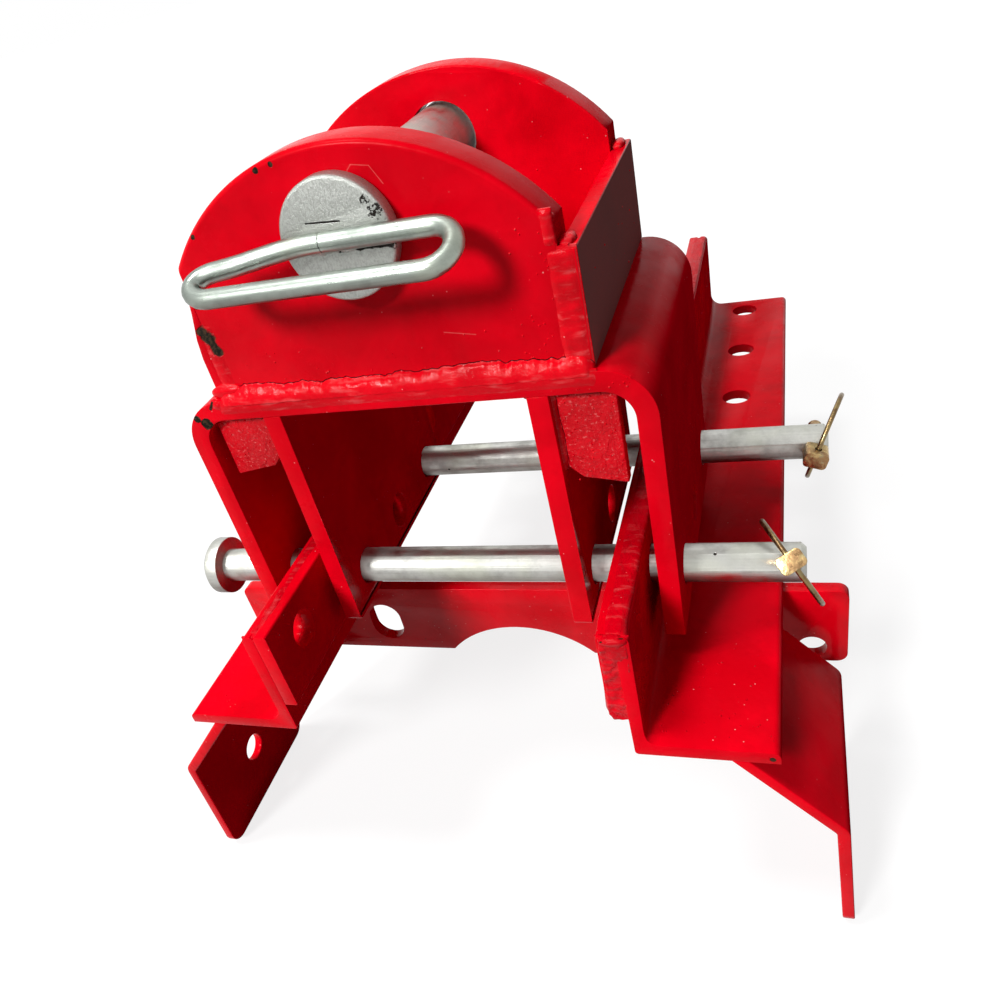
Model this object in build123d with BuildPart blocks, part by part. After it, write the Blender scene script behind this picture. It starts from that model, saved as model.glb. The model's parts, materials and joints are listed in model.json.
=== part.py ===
from build123d import *
import math
import os

os.makedirs("parts", exist_ok=True)

# Frame: the centre of the outer bolt holes of the two angle irons, on their mounting face, is the origin.
# X runs across the hitch, Y along the two arms towards their far end, Z out of the mounting face.

# Stock sizes
channel_plate = 10.0
side_plate_thickness = 8.0
cheek_thickness = 20.0
tab_thickness = 6.0
wing_plate = 6.0
cross_plate_thickness = 8.0
doubler_thickness = 8.0
angle_thickness = 7.0
angle_leg = 70.0
angle_root_radius = 9.0
angle_toe_radius = 3.5
angle_heel_radius = 2.0

# Arms of the base frame
arm_length = 510.0
arm_inner_half = 84.0
arm_far_end = 98.0
doubler_height = 50.0
doubler_edge_round = 1.5
seam_chamfer = 1.5
arm_hole_end_margin = 31.0
hole_pitch = 56.0
arm_hole_height = 48.5
arm_hole_diameter = 21.4
flange_hole_diameter = 20.0
flange_hole_pitch = 78.0
flange_hole_offset = 128.0

# Cross plate and bent wings under the angle irons
cross_plate_half = 196.0
cross_plate_height = 53.0
cross_plate_setback = 120.0
cross_corner_radius = 6.0
arch_half_width = 48.0
arch_height = 21.0
inner_slot_offset = 92.0
inner_slot_depth = 29.5
inner_slot_width = 22.0
inner_slot_length = 30.0
outer_hole_inset = 19.0
outer_hole_depth = 42.5
outer_hole_diameter = 16.0
wing_outer_half = 192.0
wing_top_inset = 14.0
wing_slope_drop = 47.0
wing_depth = 128.5
wing_splay = 4.0
wing_end_gap = 14.0
wing_corner_radius = 10.0
wing_bend_radius = 4.0
wing_hole_diameter = 18.0
wing_hole_depth = 89.0

# Saddle head
head_offset = -4.0
head_length = 160.0
head_half_width = 120.0
web_top = 173.0
leg_depth = 152.0
channel_outer_radius = 24.0
inner_plate_gap_half = 63.0
inner_plate_depth = 145.0
front_hole_inset = 27.0
tab_inset = 5.0
tab_reach_right = 29.0
tab_reach_left = 32.0
tab_height_right = 50.0
tab_height_left = 35.0
tab_corner_cut = 8.0

# Clevis on the saddle
cheek_setback = 3.0
cheek_half_width = 87.0
cheek_arc_radius = 112.0
cheek_arc_centre_drop = 5.7
cheek_arc_shift = -2.0
cheek_front_edge_round = 2.5
side_plate_height = 52.0
towing_axis_height = 72.0
towing_axis_shift = -1.0
towing_pin_diameter = 34.0
towing_bore_diameter = 37.0
towing_rest_angle = 14.0
towing_pin_tail = 16.0
towing_pin_tip_chamfer = 4.0
disc_diameter = 51.0
disc_thickness = 9.0
disc_gap = 0.05
disc_shift = 1.0
disc_drop = 1.5
edge_round = 1.0

# Oval handle welded on the disc
handle_rod = 8.5
handle_length = 118.0
handle_width = 22.0
handle_lean = 63.0
handle_shift = -4.0
handle_weld_length = 26.0

# Cross pins
cross_pin_diameter = 20.0
cross_pin_head_diameter = 35.0
cross_pin_head_thickness = 10.0
cross_pin_length = 347.0
cross_pin_tip_chamfer = 2.5
front_pin_tip = 174.0
rear_pin_tip = 187.0
hole_seat_gap = 0.05

# Lynch pins
lynch_shank_diameter = 8.0
lynch_bore_diameter = 8.2
lynch_inset = 7.0
lynch_head_width = 13.0
lynch_head_height = 12.0
lynch_head_side = 9.5
lynch_head_corner = 2.5
lynch_tip_chamfer = 1.5
lynch_tail = 9.0
ring_diameter = 50.0
ring_wire = 2.8
ring_running_gap = 0.08
front_lynch_tilt = 39.0
front_ring_skew = 34.0
rear_lynch_tilt = 0.0
rear_ring_skew = 18.7
rear_ring_swing = 12.7

# Weld beads
bead_leg = 5.0
small_bead_leg = 4.0

# Derived positions
arm_near_end = arm_far_end - arm_length
arm_middle = (arm_near_end + arm_far_end) / 2
angle_back = arm_inner_half + doubler_thickness
flange_edge = angle_back + angle_leg
first_arm_hole = arm_near_end + arm_hole_end_margin
arm_hole_count = int((arm_length - 2 * arm_hole_end_margin) / hole_pitch + 0.001) + 1
doubler_bottom = angle_leg - doubler_height
pin_play = (arm_hole_diameter - cross_pin_diameter) / 2
pin_height = arm_hole_height - (pin_play - hole_seat_gap)
head_hole_height = pin_height - (pin_play - hole_seat_gap)
front_pin_y = first_arm_hole + hole_pitch
rear_pin_y = front_pin_y + 2 * hole_pitch
head_front = front_pin_y - front_hole_inset
head_back = head_front + head_length
web_bottom = web_top - channel_plate
leg_bottom = web_top - leg_depth
inner_plate_bottom = web_top - inner_plate_depth
inner_plate_outer = inner_plate_gap_half + channel_plate
leg_inner = head_half_width - channel_plate
cheek_front_face = head_front + cheek_setback
towing_height = web_top + towing_axis_height
towing_x = head_offset + towing_axis_shift
bore_play = (towing_bore_diameter - towing_pin_diameter) / 2 - hole_seat_gap
bore_x = towing_x + bore_play * math.cos(math.radians(towing_rest_angle))
bore_height = towing_height + bore_play * math.sin(math.radians(towing_rest_angle))
disc_back = cheek_front_face - disc_gap
disc_front = disc_back - disc_thickness
towing_tip = head_back + towing_pin_tail
side_outer = cheek_half_width + side_plate_thickness
row_ys = [first_arm_hole + hole_pitch * i for i in range(arm_hole_count)]
head_hole_ys = [front_pin_y + hole_pitch * i for i in range(3)]
cross_plate_front = arm_near_end + cross_plate_setback
cross_plate_back = cross_plate_front + cross_plate_thickness
outer_hole_offset = cross_plate_half - outer_hole_inset


def yz_plane(x):
    """Vertical plane across X at x, drawn with Y to the right and Z up."""
    return Plane(origin=(x, 0, 0), x_dir=(0, 1, 0), z_dir=(1, 0, 0))


def xz_plane(y):
    """Vertical plane across Y at y, drawn with X to the right and Z up, extruding towards -Y."""
    return Plane(origin=(0, y, 0), x_dir=(1, 0, 0), z_dir=(0, -1, 0))


# Angle irons: a rolled L section with the pin holes in the standing leg and bolt holes in the flange
def angle_profile(side):
    """Rolled angle section of one side, with its back to the doubler and its flange outwards."""
    with BuildSketch(xz_plane(arm_far_end)) as section:
        with BuildLine():
            Polyline(
                (side * angle_back, 0),
                (side * flange_edge, 0),
                (side * flange_edge, angle_thickness),
                (side * (angle_back + angle_thickness), angle_thickness),
                (side * (angle_back + angle_thickness), angle_leg),
                (side * angle_back, angle_leg),
                close=True,
            )
        make_face()
        root = (side * (angle_back + angle_thickness), angle_thickness)
        toe = (side * flange_edge, angle_thickness)
        top = (side * (angle_back + angle_thickness), angle_leg)
        heel = (side * angle_back, 0)
        fillet(section.vertices().sort_by_distance(root)[0], angle_root_radius)
        fillet(section.vertices().sort_by_distance(toe)[0], angle_toe_radius)
        fillet(section.vertices().sort_by_distance(top)[0], angle_toe_radius)
        fillet(section.vertices().sort_by_distance(heel)[0], angle_heel_radius)
        seam = (side * angle_back, angle_leg)
        chamfer(section.vertices().sort_by_distance(seam)[0], seam_chamfer)
    return section.sketch


angle_section_right = angle_profile(1)
angle_section_left = angle_profile(-1)

with BuildPart() as angle_right:
    extrude(angle_section_right, amount=arm_length)
    with BuildSketch(yz_plane(angle_back)):
        with Locations(*[(y, arm_hole_height) for y in row_ys]):
            Circle(arm_hole_diameter / 2)
    extrude(amount=angle_thickness, mode=Mode.SUBTRACT)
    with BuildSketch(Plane.XY):
        with Locations(*[(flange_hole_offset, i * flange_hole_pitch) for i in (-1, 0, 1)]):
            Circle(flange_hole_diameter / 2)
    extrude(amount=angle_thickness, mode=Mode.SUBTRACT)

with BuildPart() as angle_left:
    extrude(angle_section_left, amount=arm_length)
    with BuildSketch(yz_plane(-angle_back - angle_thickness)):
        with Locations(*[(y, arm_hole_height) for y in row_ys]):
            Circle(arm_hole_diameter / 2)
    extrude(amount=angle_thickness, mode=Mode.SUBTRACT)
    with BuildSketch(Plane.XY):
        with Locations(*[(-flange_hole_offset, i * flange_hole_pitch) for i in (-1, 0, 1)]):
            Circle(flange_hole_diameter / 2)
    extrude(amount=angle_thickness, mode=Mode.SUBTRACT)

# Doublers: flat bars that thicken the standing legs around the pin holes
with BuildPart() as doubler_right:
    with BuildSketch(yz_plane(arm_inner_half)):
        with Locations((arm_middle, doubler_bottom + doubler_height / 2)):
            Rectangle(arm_length, doubler_height)
        with Locations(*[(y, arm_hole_height) for y in row_ys]):
            Circle(arm_hole_diameter / 2, mode=Mode.SUBTRACT)
    extrude(amount=doubler_thickness)
    inner_long_edges = doubler_right.edges().filter_by(Axis.Y).group_by(Axis.X)[0]
    fillet(inner_long_edges, doubler_edge_round)
    seam_edge = doubler_right.edges().filter_by(Axis.Y).group_by(Axis.X)[-1].sort_by(Axis.Z)[-1]
    chamfer(seam_edge, seam_chamfer)

with BuildPart() as doubler_left:
    with BuildSketch(yz_plane(-arm_inner_half - doubler_thickness)):
        with Locations((arm_middle, doubler_bottom + doubler_height / 2)):
            Rectangle(arm_length, doubler_height)
        with Locations(*[(y, arm_hole_height) for y in row_ys]):
            Circle(arm_hole_diameter / 2, mode=Mode.SUBTRACT)
    extrude(amount=doubler_thickness)
    inner_long_edges = doubler_left.edges().filter_by(Axis.Y).group_by(Axis.X)[-1]
    fillet(inner_long_edges, doubler_edge_round)
    seam_edge = doubler_left.edges().filter_by(Axis.Y).group_by(Axis.X)[0].sort_by(Axis.Z)[-1]
    chamfer(seam_edge, seam_chamfer)

# Cross plate: ties both angle irons from below, with an arch for a driving shaft and four bolt holes
arch_radius = (arch_half_width**2 + arch_height**2) / (2 * arch_height)
with BuildPart() as cross_plate:
    with BuildSketch(xz_plane(cross_plate_back)) as cross_outline:
        with Locations((0, -cross_plate_height / 2)):
            Rectangle(2 * cross_plate_half, cross_plate_height)
        fillet(cross_outline.vertices(), cross_corner_radius)
        with Locations((0, -cross_plate_height + arch_height - arch_radius)):
            Circle(arch_radius, mode=Mode.SUBTRACT)
        with Locations((-inner_slot_offset, -inner_slot_depth), (inner_slot_offset, -inner_slot_depth)):
            SlotOverall(inner_slot_length, inner_slot_width, rotation=90, mode=Mode.SUBTRACT)
        with Locations((-outer_hole_offset, -outer_hole_depth), (outer_hole_offset, -outer_hole_depth)):
            Circle(outer_hole_diameter / 2, mode=Mode.SUBTRACT)
    extrude(amount=cross_plate_thickness)

# Wings: plates bent once, sloping out from under each flange and then straight down
wing_end = cross_plate_front - wing_end_gap
wing_length = wing_end - arm_near_end
slope_top = flange_edge - wing_top_inset
slope_run = wing_outer_half - slope_top
slope_angle = math.atan2(wing_slope_drop, slope_run)
slope_cut = wing_plate / math.sin(slope_angle)
inner_bend_depth = (slope_run - wing_plate + slope_cut) * math.tan(slope_angle)
wing_outline = [
    (slope_top, 0),
    (wing_outer_half, -wing_slope_drop),
    (wing_outer_half + wing_splay, -wing_depth),
    (wing_outer_half + wing_splay - wing_plate, -wing_depth),
    (wing_outer_half - wing_plate, -inner_bend_depth),
    (slope_top - slope_cut, 0),
]


def wing_profile(side):
    """Section of one wing across Y."""
    with BuildSketch(xz_plane(wing_end)) as section:
        with BuildLine():
            Polyline(*[(side * x, z) for x, z in wing_outline], close=True)
        make_face()
        outer_bend = (side * wing_outer_half, -wing_slope_drop)
        inner_bend = (side * (wing_outer_half - wing_plate), -inner_bend_depth)
        fillet(section.vertices().sort_by_distance(outer_bend)[0], wing_bend_radius + wing_plate)
        fillet(section.vertices().sort_by_distance(inner_bend)[0], wing_bend_radius)
    return section.sketch


wing_section_right = wing_profile(1)
wing_section_left = wing_profile(-1)

with BuildPart() as wing_right:
    extrude(wing_section_right, amount=wing_length)
    fillet(wing_right.edges().filter_by(Axis.X).group_by(Axis.Z)[0], wing_corner_radius)
    with BuildSketch(yz_plane(wing_outer_half - wing_plate)):
        with Locations((wing_end - wing_length / 2, -wing_hole_depth)):
            Circle(wing_hole_diameter / 2)
    extrude(amount=wing_plate + wing_splay, mode=Mode.SUBTRACT)

with BuildPart() as wing_left:
    extrude(wing_section_left, amount=wing_length)
    fillet(wing_left.edges().filter_by(Axis.X).group_by(Axis.Z)[0], wing_corner_radius)
    with BuildSketch(yz_plane(-wing_outer_half - wing_splay)):
        with Locations((wing_end - wing_length / 2, -wing_hole_depth)):
            Circle(wing_hole_diameter / 2)
    extrude(amount=wing_plate + wing_splay, mode=Mode.SUBTRACT)

# Saddle channel: one plate bent into an inverted U, with the pin holes through both legs
with BuildPart() as saddle_channel:
    with BuildSketch(xz_plane(head_back)) as channel_section:
        with BuildLine() as channel_outline:
            Polyline(
                (head_offset - head_half_width, leg_bottom),
                (head_offset - head_half_width, web_top),
                (head_offset + head_half_width, web_top),
                (head_offset + head_half_width, leg_bottom),
                (head_offset + leg_inner, leg_bottom),
                (head_offset + leg_inner, web_bottom),
                (head_offset - leg_inner, web_bottom),
                (head_offset - leg_inner, leg_bottom),
                close=True,
            )
        make_face()
        fillet(channel_section.vertices().group_by(Axis.Y)[-2], channel_outer_radius - channel_plate)
        fillet(channel_section.vertices().group_by(Axis.Y)[-1], channel_outer_radius)
    extrude(amount=head_length)
    with BuildSketch(yz_plane(head_offset - head_half_width)):
        with Locations(*[(y, head_hole_height) for y in head_hole_ys]):
            Circle(arm_hole_diameter / 2)
    extrude(amount=2 * head_half_width, mode=Mode.SUBTRACT)
    leg_ends = saddle_channel.edges().filter_by(Axis.X).group_by(Axis.Z)[0]
    fillet(leg_ends, channel_plate / 4)

# Inner plates: hung from the web, making a slot for each arm with the channel's leg
inner_plate_height = web_bottom - inner_plate_bottom
plate_centre = (head_front + head_length / 2, inner_plate_bottom + inner_plate_height / 2)
with BuildPart() as inner_plate_right:
    with BuildSketch(yz_plane(head_offset + inner_plate_gap_half)) as plate_outline:
        with Locations(plate_centre):
            Rectangle(head_length, inner_plate_height)
        fillet(plate_outline.vertices().group_by(Axis.Y)[0], channel_plate / 4)
        with Locations(*[(y, head_hole_height) for y in head_hole_ys]):
            Circle(arm_hole_diameter / 2, mode=Mode.SUBTRACT)
    extrude(amount=channel_plate)

with BuildPart() as inner_plate_left:
    with BuildSketch(yz_plane(head_offset - inner_plate_outer)) as plate_outline:
        with Locations(plate_centre):
            Rectangle(head_length, inner_plate_height)
        fillet(plate_outline.vertices().group_by(Axis.Y)[0], channel_plate / 4)
        with Locations(*[(y, head_hole_height) for y in head_hole_ys]):
            Circle(arm_hole_diameter / 2, mode=Mode.SUBTRACT)
    extrude(amount=channel_plate)

# Tabs: small stiffeners between each inner plate and the bend of the web, near both ends
tab_near = head_front + tab_inset
tab_far = head_back - tab_inset - tab_thickness


def tab_outline(side, reach, height):
    """Corner points of a tab across Y, with its lower inner corner cut off."""
    x0 = head_offset + side * inner_plate_outer
    return [
        (x0, web_bottom),
        (x0 + side * reach * 0.7, web_bottom),
        (x0 + side * reach, web_bottom - tab_corner_cut / 2),
        (x0 + side * reach, web_bottom - height),
        (x0 + side * tab_corner_cut, web_bottom - height + tab_corner_cut / 2),
        (x0, web_bottom - height + tab_corner_cut * 1.5),
    ]


with BuildPart() as tabs_right:
    for start in (tab_near, tab_far):
        with BuildSketch(xz_plane(start + tab_thickness)):
            with BuildLine():
                Polyline(*tab_outline(1, tab_reach_right, tab_height_right), close=True)
            make_face()
        extrude(amount=tab_thickness)

with BuildPart() as tabs_left:
    for start in (tab_near, tab_far):
        with BuildSketch(xz_plane(start + tab_thickness)):
            with BuildLine():
                Polyline(*tab_outline(-1, tab_reach_left, tab_height_left), close=True)
            make_face()
        extrude(amount=tab_thickness)

# Cheeks: thick plates with arched tops and a bore for the towing pin
cheek_left = head_offset - cheek_half_width
cheek_right = head_offset + cheek_half_width
arc_x = head_offset + cheek_arc_shift
arc_z = web_top - cheek_arc_centre_drop
left_shoulder = arc_z + math.sqrt(cheek_arc_radius**2 - (cheek_left - arc_x) ** 2)
right_shoulder = arc_z + math.sqrt(cheek_arc_radius**2 - (cheek_right - arc_x) ** 2)


def cheek_sketch(y):
    """Outline of a cheek across Y, with its back face at y."""
    with BuildSketch(xz_plane(y)) as outline:
        with BuildLine():
            Line((cheek_left, web_top), (cheek_right, web_top))
            Line((cheek_right, web_top), (cheek_right, right_shoulder))
            arc_crown = (arc_x, arc_z + cheek_arc_radius)
            ThreePointArc((cheek_right, right_shoulder), arc_crown, (cheek_left, left_shoulder))
            Line((cheek_left, left_shoulder), (cheek_left, web_top))
        make_face()
        with Locations((bore_x, bore_height)):
            Circle(towing_bore_diameter / 2, mode=Mode.SUBTRACT)
    return outline.sketch


front_cheek_sketch = cheek_sketch(cheek_front_face + cheek_thickness)
rear_cheek_sketch = cheek_sketch(head_back)

with BuildPart() as cheek_front:
    extrude(front_cheek_sketch, amount=cheek_thickness)
    arch_edges = cheek_front.edges().filter_by(GeomType.CIRCLE).sort_by(SortBy.RADIUS)[-2:]
    fillet(arch_edges.sort_by(Axis.Y)[-1], edge_round)
    arch_edges = cheek_front.edges().filter_by(GeomType.CIRCLE).group_by(SortBy.RADIUS)[-1]
    fillet(arch_edges.sort_by(Axis.Y)[0], cheek_front_edge_round)

with BuildPart() as cheek_rear:
    extrude(rear_cheek_sketch, amount=cheek_thickness)
    fillet(cheek_rear.edges().filter_by(GeomType.CIRCLE).sort_by(SortBy.RADIUS)[-2:], edge_round)

# Side plates: join the two cheeks and carry their edges
side_plate_length = head_back - cheek_front_face
side_centre = (cheek_front_face + side_plate_length / 2, web_top + side_plate_height / 2)
with BuildPart() as side_plate_right:
    with BuildSketch(yz_plane(head_offset + cheek_half_width)):
        with Locations(side_centre):
            Rectangle(side_plate_length, side_plate_height)
    extrude(amount=side_plate_thickness)
    fillet(side_plate_right.edges().filter_by(Axis.Y).group_by(Axis.Z)[-1], edge_round)

with BuildPart() as side_plate_left:
    with BuildSketch(yz_plane(head_offset - side_outer)):
        with Locations(side_centre):
            Rectangle(side_plate_length, side_plate_height)
    extrude(amount=side_plate_thickness)
    fillet(side_plate_left.edges().filter_by(Axis.Y).group_by(Axis.Z)[-1], edge_round)

# Towing pin: plain round bar through both cheeks, chamfered at its tip
with BuildPart() as towing_pin:
    with BuildSketch(xz_plane(towing_tip)):
        with Locations((towing_x, towing_height)):
            Circle(towing_pin_diameter / 2)
    extrude(amount=towing_tip - disc_back)
    tip_edge = towing_pin.edges().filter_by(GeomType.CIRCLE).group_by(Axis.Y)[-1]
    chamfer(tip_edge, towing_pin_tip_chamfer)

# Disc: stops the towing pin against the front cheek
with BuildPart() as pin_disc:
    with BuildSketch(xz_plane(disc_back)):
        with Locations((towing_x + disc_shift, towing_height - disc_drop)):
            Circle(disc_diameter / 2)
    extrude(amount=disc_thickness)
    chamfer(pin_disc.edges().filter_by(GeomType.CIRCLE), edge_round)

# Handle: a bent oval of round rod, welded by its upper limb and leaning outwards
handle_axis_y = disc_front - handle_rod / 2
handle_axis_z = towing_height
handle_x = head_offset + handle_shift
lean = math.radians(handle_lean)
handle_down = Vector(0, -math.sin(lean), -math.cos(lean))
handle_centre = Vector(handle_x, handle_axis_y, handle_axis_z) + handle_down * (handle_width / 2)
handle_plane = Plane(origin=handle_centre, x_dir=(1, 0, 0), z_dir=Vector(1, 0, 0).cross(handle_down))
limb_half = (handle_length - handle_width) / 2
with BuildPart() as pin_handle:
    with BuildLine(handle_plane) as handle_path:
        top_limb = Line((-limb_half, -handle_width / 2), (limb_half, -handle_width / 2))
        RadiusArc(top_limb @ 1, (limb_half, handle_width / 2), -handle_width / 2)
        Line((limb_half, handle_width / 2), (-limb_half, handle_width / 2))
        RadiusArc((-limb_half, handle_width / 2), top_limb @ 0, -handle_width / 2)
    limb_start = handle_path.edges()[0] @ 0
    limb_direction = handle_path.edges()[0] % 0
    with BuildSketch(Plane(origin=limb_start, z_dir=limb_direction)):
        Circle(handle_rod / 2)
    sweep()

# Handle weld: the bead that runs under the upper limb on the disc
with BuildPart() as handle_weld:
    with BuildSketch(yz_plane(handle_x - handle_weld_length / 2)):
        with BuildLine():
            weld_reach = handle_rod * 0.62
            Polyline(
                (disc_front, handle_axis_z),
                (disc_front, handle_axis_z - weld_reach),
                (handle_axis_y - handle_rod * 0.2, handle_axis_z - handle_rod * 0.44),
                (handle_axis_y, handle_axis_z),
                close=True,
            )
        make_face()
        with Locations((handle_axis_y, handle_axis_z)):
            Circle(handle_rod / 2, mode=Mode.SUBTRACT)
    extrude(amount=handle_weld_length)


# Cross pins: turned pins with a round head at the left and a hole for a lynch pin near the tip
def turned_pin(y, tip):
    """Profile of a cross pin, revolved about its own axis."""
    head_end = tip - cross_pin_length
    axis = Axis((0, y, pin_height), (1, 0, 0))
    profile = Plane(origin=(0, y, pin_height), x_dir=(1, 0, 0), z_dir=(0, -1, 0))
    with BuildPart() as pin:
        with BuildSketch(profile):
            with BuildLine():
                Polyline(
                    (head_end, 0),
                    (head_end, cross_pin_head_diameter / 2 - cross_pin_tip_chamfer),
                    (head_end + cross_pin_tip_chamfer, cross_pin_head_diameter / 2),
                    (head_end + cross_pin_head_thickness, cross_pin_head_diameter / 2),
                    (head_end + cross_pin_head_thickness, cross_pin_diameter / 2),
                    (tip - cross_pin_tip_chamfer, cross_pin_diameter / 2),
                    (tip, cross_pin_diameter / 2 - cross_pin_tip_chamfer),
                    (tip, 0),
                    close=True,
                )
            make_face()
        revolve(axis=axis)
    return pin.part


def lynch_plane(x, y, tilt, skew):
    """Plane of a lynch pin: its normal runs from the tip to the head, its X is the ring's pivot axis."""
    t = math.radians(tilt)
    k = math.radians(skew)
    out = Vector(0, -math.cos(t), math.sin(t))
    up = Vector(0, math.sin(t), math.cos(t))
    pivot = up * math.cos(k) + Vector(1, 0, 0) * -math.sin(k)
    return Plane(origin=(x, y, pin_height), x_dir=pivot, z_dir=out)


front_lynch_x = front_pin_tip - lynch_inset
rear_lynch_x = rear_pin_tip - lynch_inset
front_lynch_plane = lynch_plane(front_lynch_x, front_pin_y, front_lynch_tilt, front_ring_skew)
rear_lynch_plane = lynch_plane(rear_lynch_x, rear_pin_y, rear_lynch_tilt, -rear_ring_skew)

with BuildPart() as cross_pin_front:
    add(turned_pin(front_pin_y, front_pin_tip))
    with BuildSketch(front_lynch_plane):
        Circle(lynch_bore_diameter / 2)
    extrude(amount=cross_pin_diameter, both=True, mode=Mode.SUBTRACT)

with BuildPart() as cross_pin_rear:
    add(turned_pin(rear_pin_y, rear_pin_tip))
    with BuildSketch(rear_lynch_plane):
        Circle(lynch_bore_diameter / 2)
    extrude(amount=cross_pin_diameter, both=True, mode=Mode.SUBTRACT)

# Lynch pins: a shank through the cross pin and a block head that holds the spring ring
head_seat = cross_pin_diameter / 2 + hole_seat_gap
pivot_height = head_seat + lynch_head_height / 2
shank_bottom = -cross_pin_diameter / 2 - lynch_tail
ring_half_head = lynch_head_side / 2
ring_bow = ring_diameter / 2 - math.sqrt((ring_diameter / 2) ** 2 - ring_half_head**2)
ring_bore_radius = ring_wire / 2 + ring_bow + ring_running_gap


def lynch_body(plane):
    """Shank, block head and cross bore of a lynch pin standing on its plane."""
    with BuildPart() as body:
        with BuildSketch(plane.offset(shank_bottom)):
            Circle(lynch_shank_diameter / 2)
        extrude(amount=head_seat - shank_bottom)
        tip_edge = body.edges().filter_by(GeomType.CIRCLE).sort_by_distance(plane.offset(shank_bottom).origin)[0]
        chamfer(tip_edge, lynch_tip_chamfer)
        with BuildSketch(plane.offset(head_seat)) as block:
            Rectangle(lynch_head_side, lynch_head_width)
            fillet(block.vertices(), lynch_head_corner)
        extrude(amount=lynch_head_height)
        bore_plane = Plane(origin=plane.offset(pivot_height).origin, z_dir=plane.x_dir)
        with BuildSketch(bore_plane):
            Circle(ring_bore_radius)
        extrude(amount=lynch_head_side, both=True, mode=Mode.SUBTRACT)
    return body.part


with BuildPart() as lynch_pin_front:
    add(lynch_body(front_lynch_plane))

with BuildPart() as lynch_pin_rear:
    add(lynch_body(rear_lynch_plane))


def ring_location(plane, swing):
    """Plane of a spring ring: it hangs from the pivot past the pin's tip and swings towards the tip's side."""
    pivot = plane.x_dir
    tail = plane.z_dir * -1
    aside = pivot.cross(plane.z_dir)
    if aside.X < 0:
        aside = aside * -1
    s = math.radians(swing)
    reach = tail * math.cos(s) + aside * math.sin(s)
    centre = plane.offset(pivot_height).origin + reach * (ring_diameter / 2)
    return Plane(origin=centre, x_dir=pivot, z_dir=pivot.cross(reach))


with BuildPart() as lynch_ring_front:
    with Locations(ring_location(front_lynch_plane, 0)):
        Torus(ring_diameter / 2, ring_wire / 2)

with BuildPart() as lynch_ring_rear:
    with Locations(ring_location(rear_lynch_plane, rear_ring_swing)):
        Torus(ring_diameter / 2, ring_wire / 2)


# Weld beads: straight fillet runs with a rounded face
def bead_along_x(x0, x1, y, z, dy, dz, leg):
    """Fillet bead along X in the corner at (y, z), reaching dy and dz times its leg."""
    with BuildPart() as bead:
        with BuildSketch(yz_plane(x0)):
            with BuildLine():
                Line((y, z), (y + dy * leg, z))
                middle = (y + dy * leg * 0.62, z + dz * leg * 0.62)
                ThreePointArc((y + dy * leg, z), middle, (y, z + dz * leg))
                Line((y, z + dz * leg), (y, z))
            make_face()
        extrude(amount=x1 - x0)
    return bead.part


def bead_along_y(y0, y1, x, z, dx, dz, leg):
    """Fillet bead along Y in the corner at (x, z), reaching dx and dz times its leg."""
    with BuildPart() as bead:
        with BuildSketch(xz_plane(y1)):
            with BuildLine():
                Line((x, z), (x + dx * leg, z))
                middle = (x + dx * leg * 0.62, z + dz * leg * 0.62)
                ThreePointArc((x + dx * leg, z), middle, (x, z + dz * leg))
                Line((x, z + dz * leg), (x, z))
            make_face()
        extrude(amount=y1 - y0)
    return bead.part


foot_left = head_offset - side_outer
foot_right = head_offset + side_outer
with BuildPart() as clevis_welds:
    add(bead_along_x(foot_left, foot_right, cheek_front_face, web_top, -cheek_setback / bead_leg, 1, bead_leg))
    rear_bay = head_back - cheek_thickness
    front_bay = cheek_front_face + cheek_thickness
    add(bead_along_x(cheek_left, cheek_right, front_bay, web_top, 1, 1, small_bead_leg))
    add(bead_along_x(cheek_left, cheek_right, rear_bay, web_top, -1, 1, small_bead_leg))

with BuildPart() as saddle_welds:
    weld_start = head_front + tab_inset + tab_thickness
    weld_end = head_back - tab_inset - tab_thickness
    slot_right = head_offset + inner_plate_outer
    slot_left = head_offset - inner_plate_outer
    bay_right = head_offset + inner_plate_gap_half
    bay_left = head_offset - inner_plate_gap_half
    add(bead_along_y(weld_start, weld_end, slot_right, web_bottom, 1, -1, small_bead_leg))
    add(bead_along_y(weld_start, weld_end, slot_left, web_bottom, -1, -1, small_bead_leg))
    add(bead_along_y(head_front + tab_inset, weld_end, bay_right, web_bottom, -1, -1, small_bead_leg))
    add(bead_along_y(head_front + tab_inset, weld_end, bay_left, web_bottom, 1, -1, small_bead_leg))

with BuildPart() as frame_welds:
    under_left = slope_top - slope_cut
    add(bead_along_y(arm_near_end, wing_end, under_left, 0, -1, -1, small_bead_leg))
    add(bead_along_y(arm_near_end, wing_end, -under_left, 0, 1, -1, small_bead_leg))
    add(bead_along_x(angle_back, flange_edge, cross_plate_back, 0, 1, -1, small_bead_leg))
    add(bead_along_x(-flange_edge, -angle_back, cross_plate_back, 0, 1, -1, small_bead_leg))
    doubler_edge = doubler_bottom
    add(bead_along_y(arm_near_end, arm_far_end, angle_back, doubler_edge, -1, -1, small_bead_leg))
    add(bead_along_y(arm_near_end, arm_far_end, -angle_back, doubler_edge, 1, -1, small_bead_leg))

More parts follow.
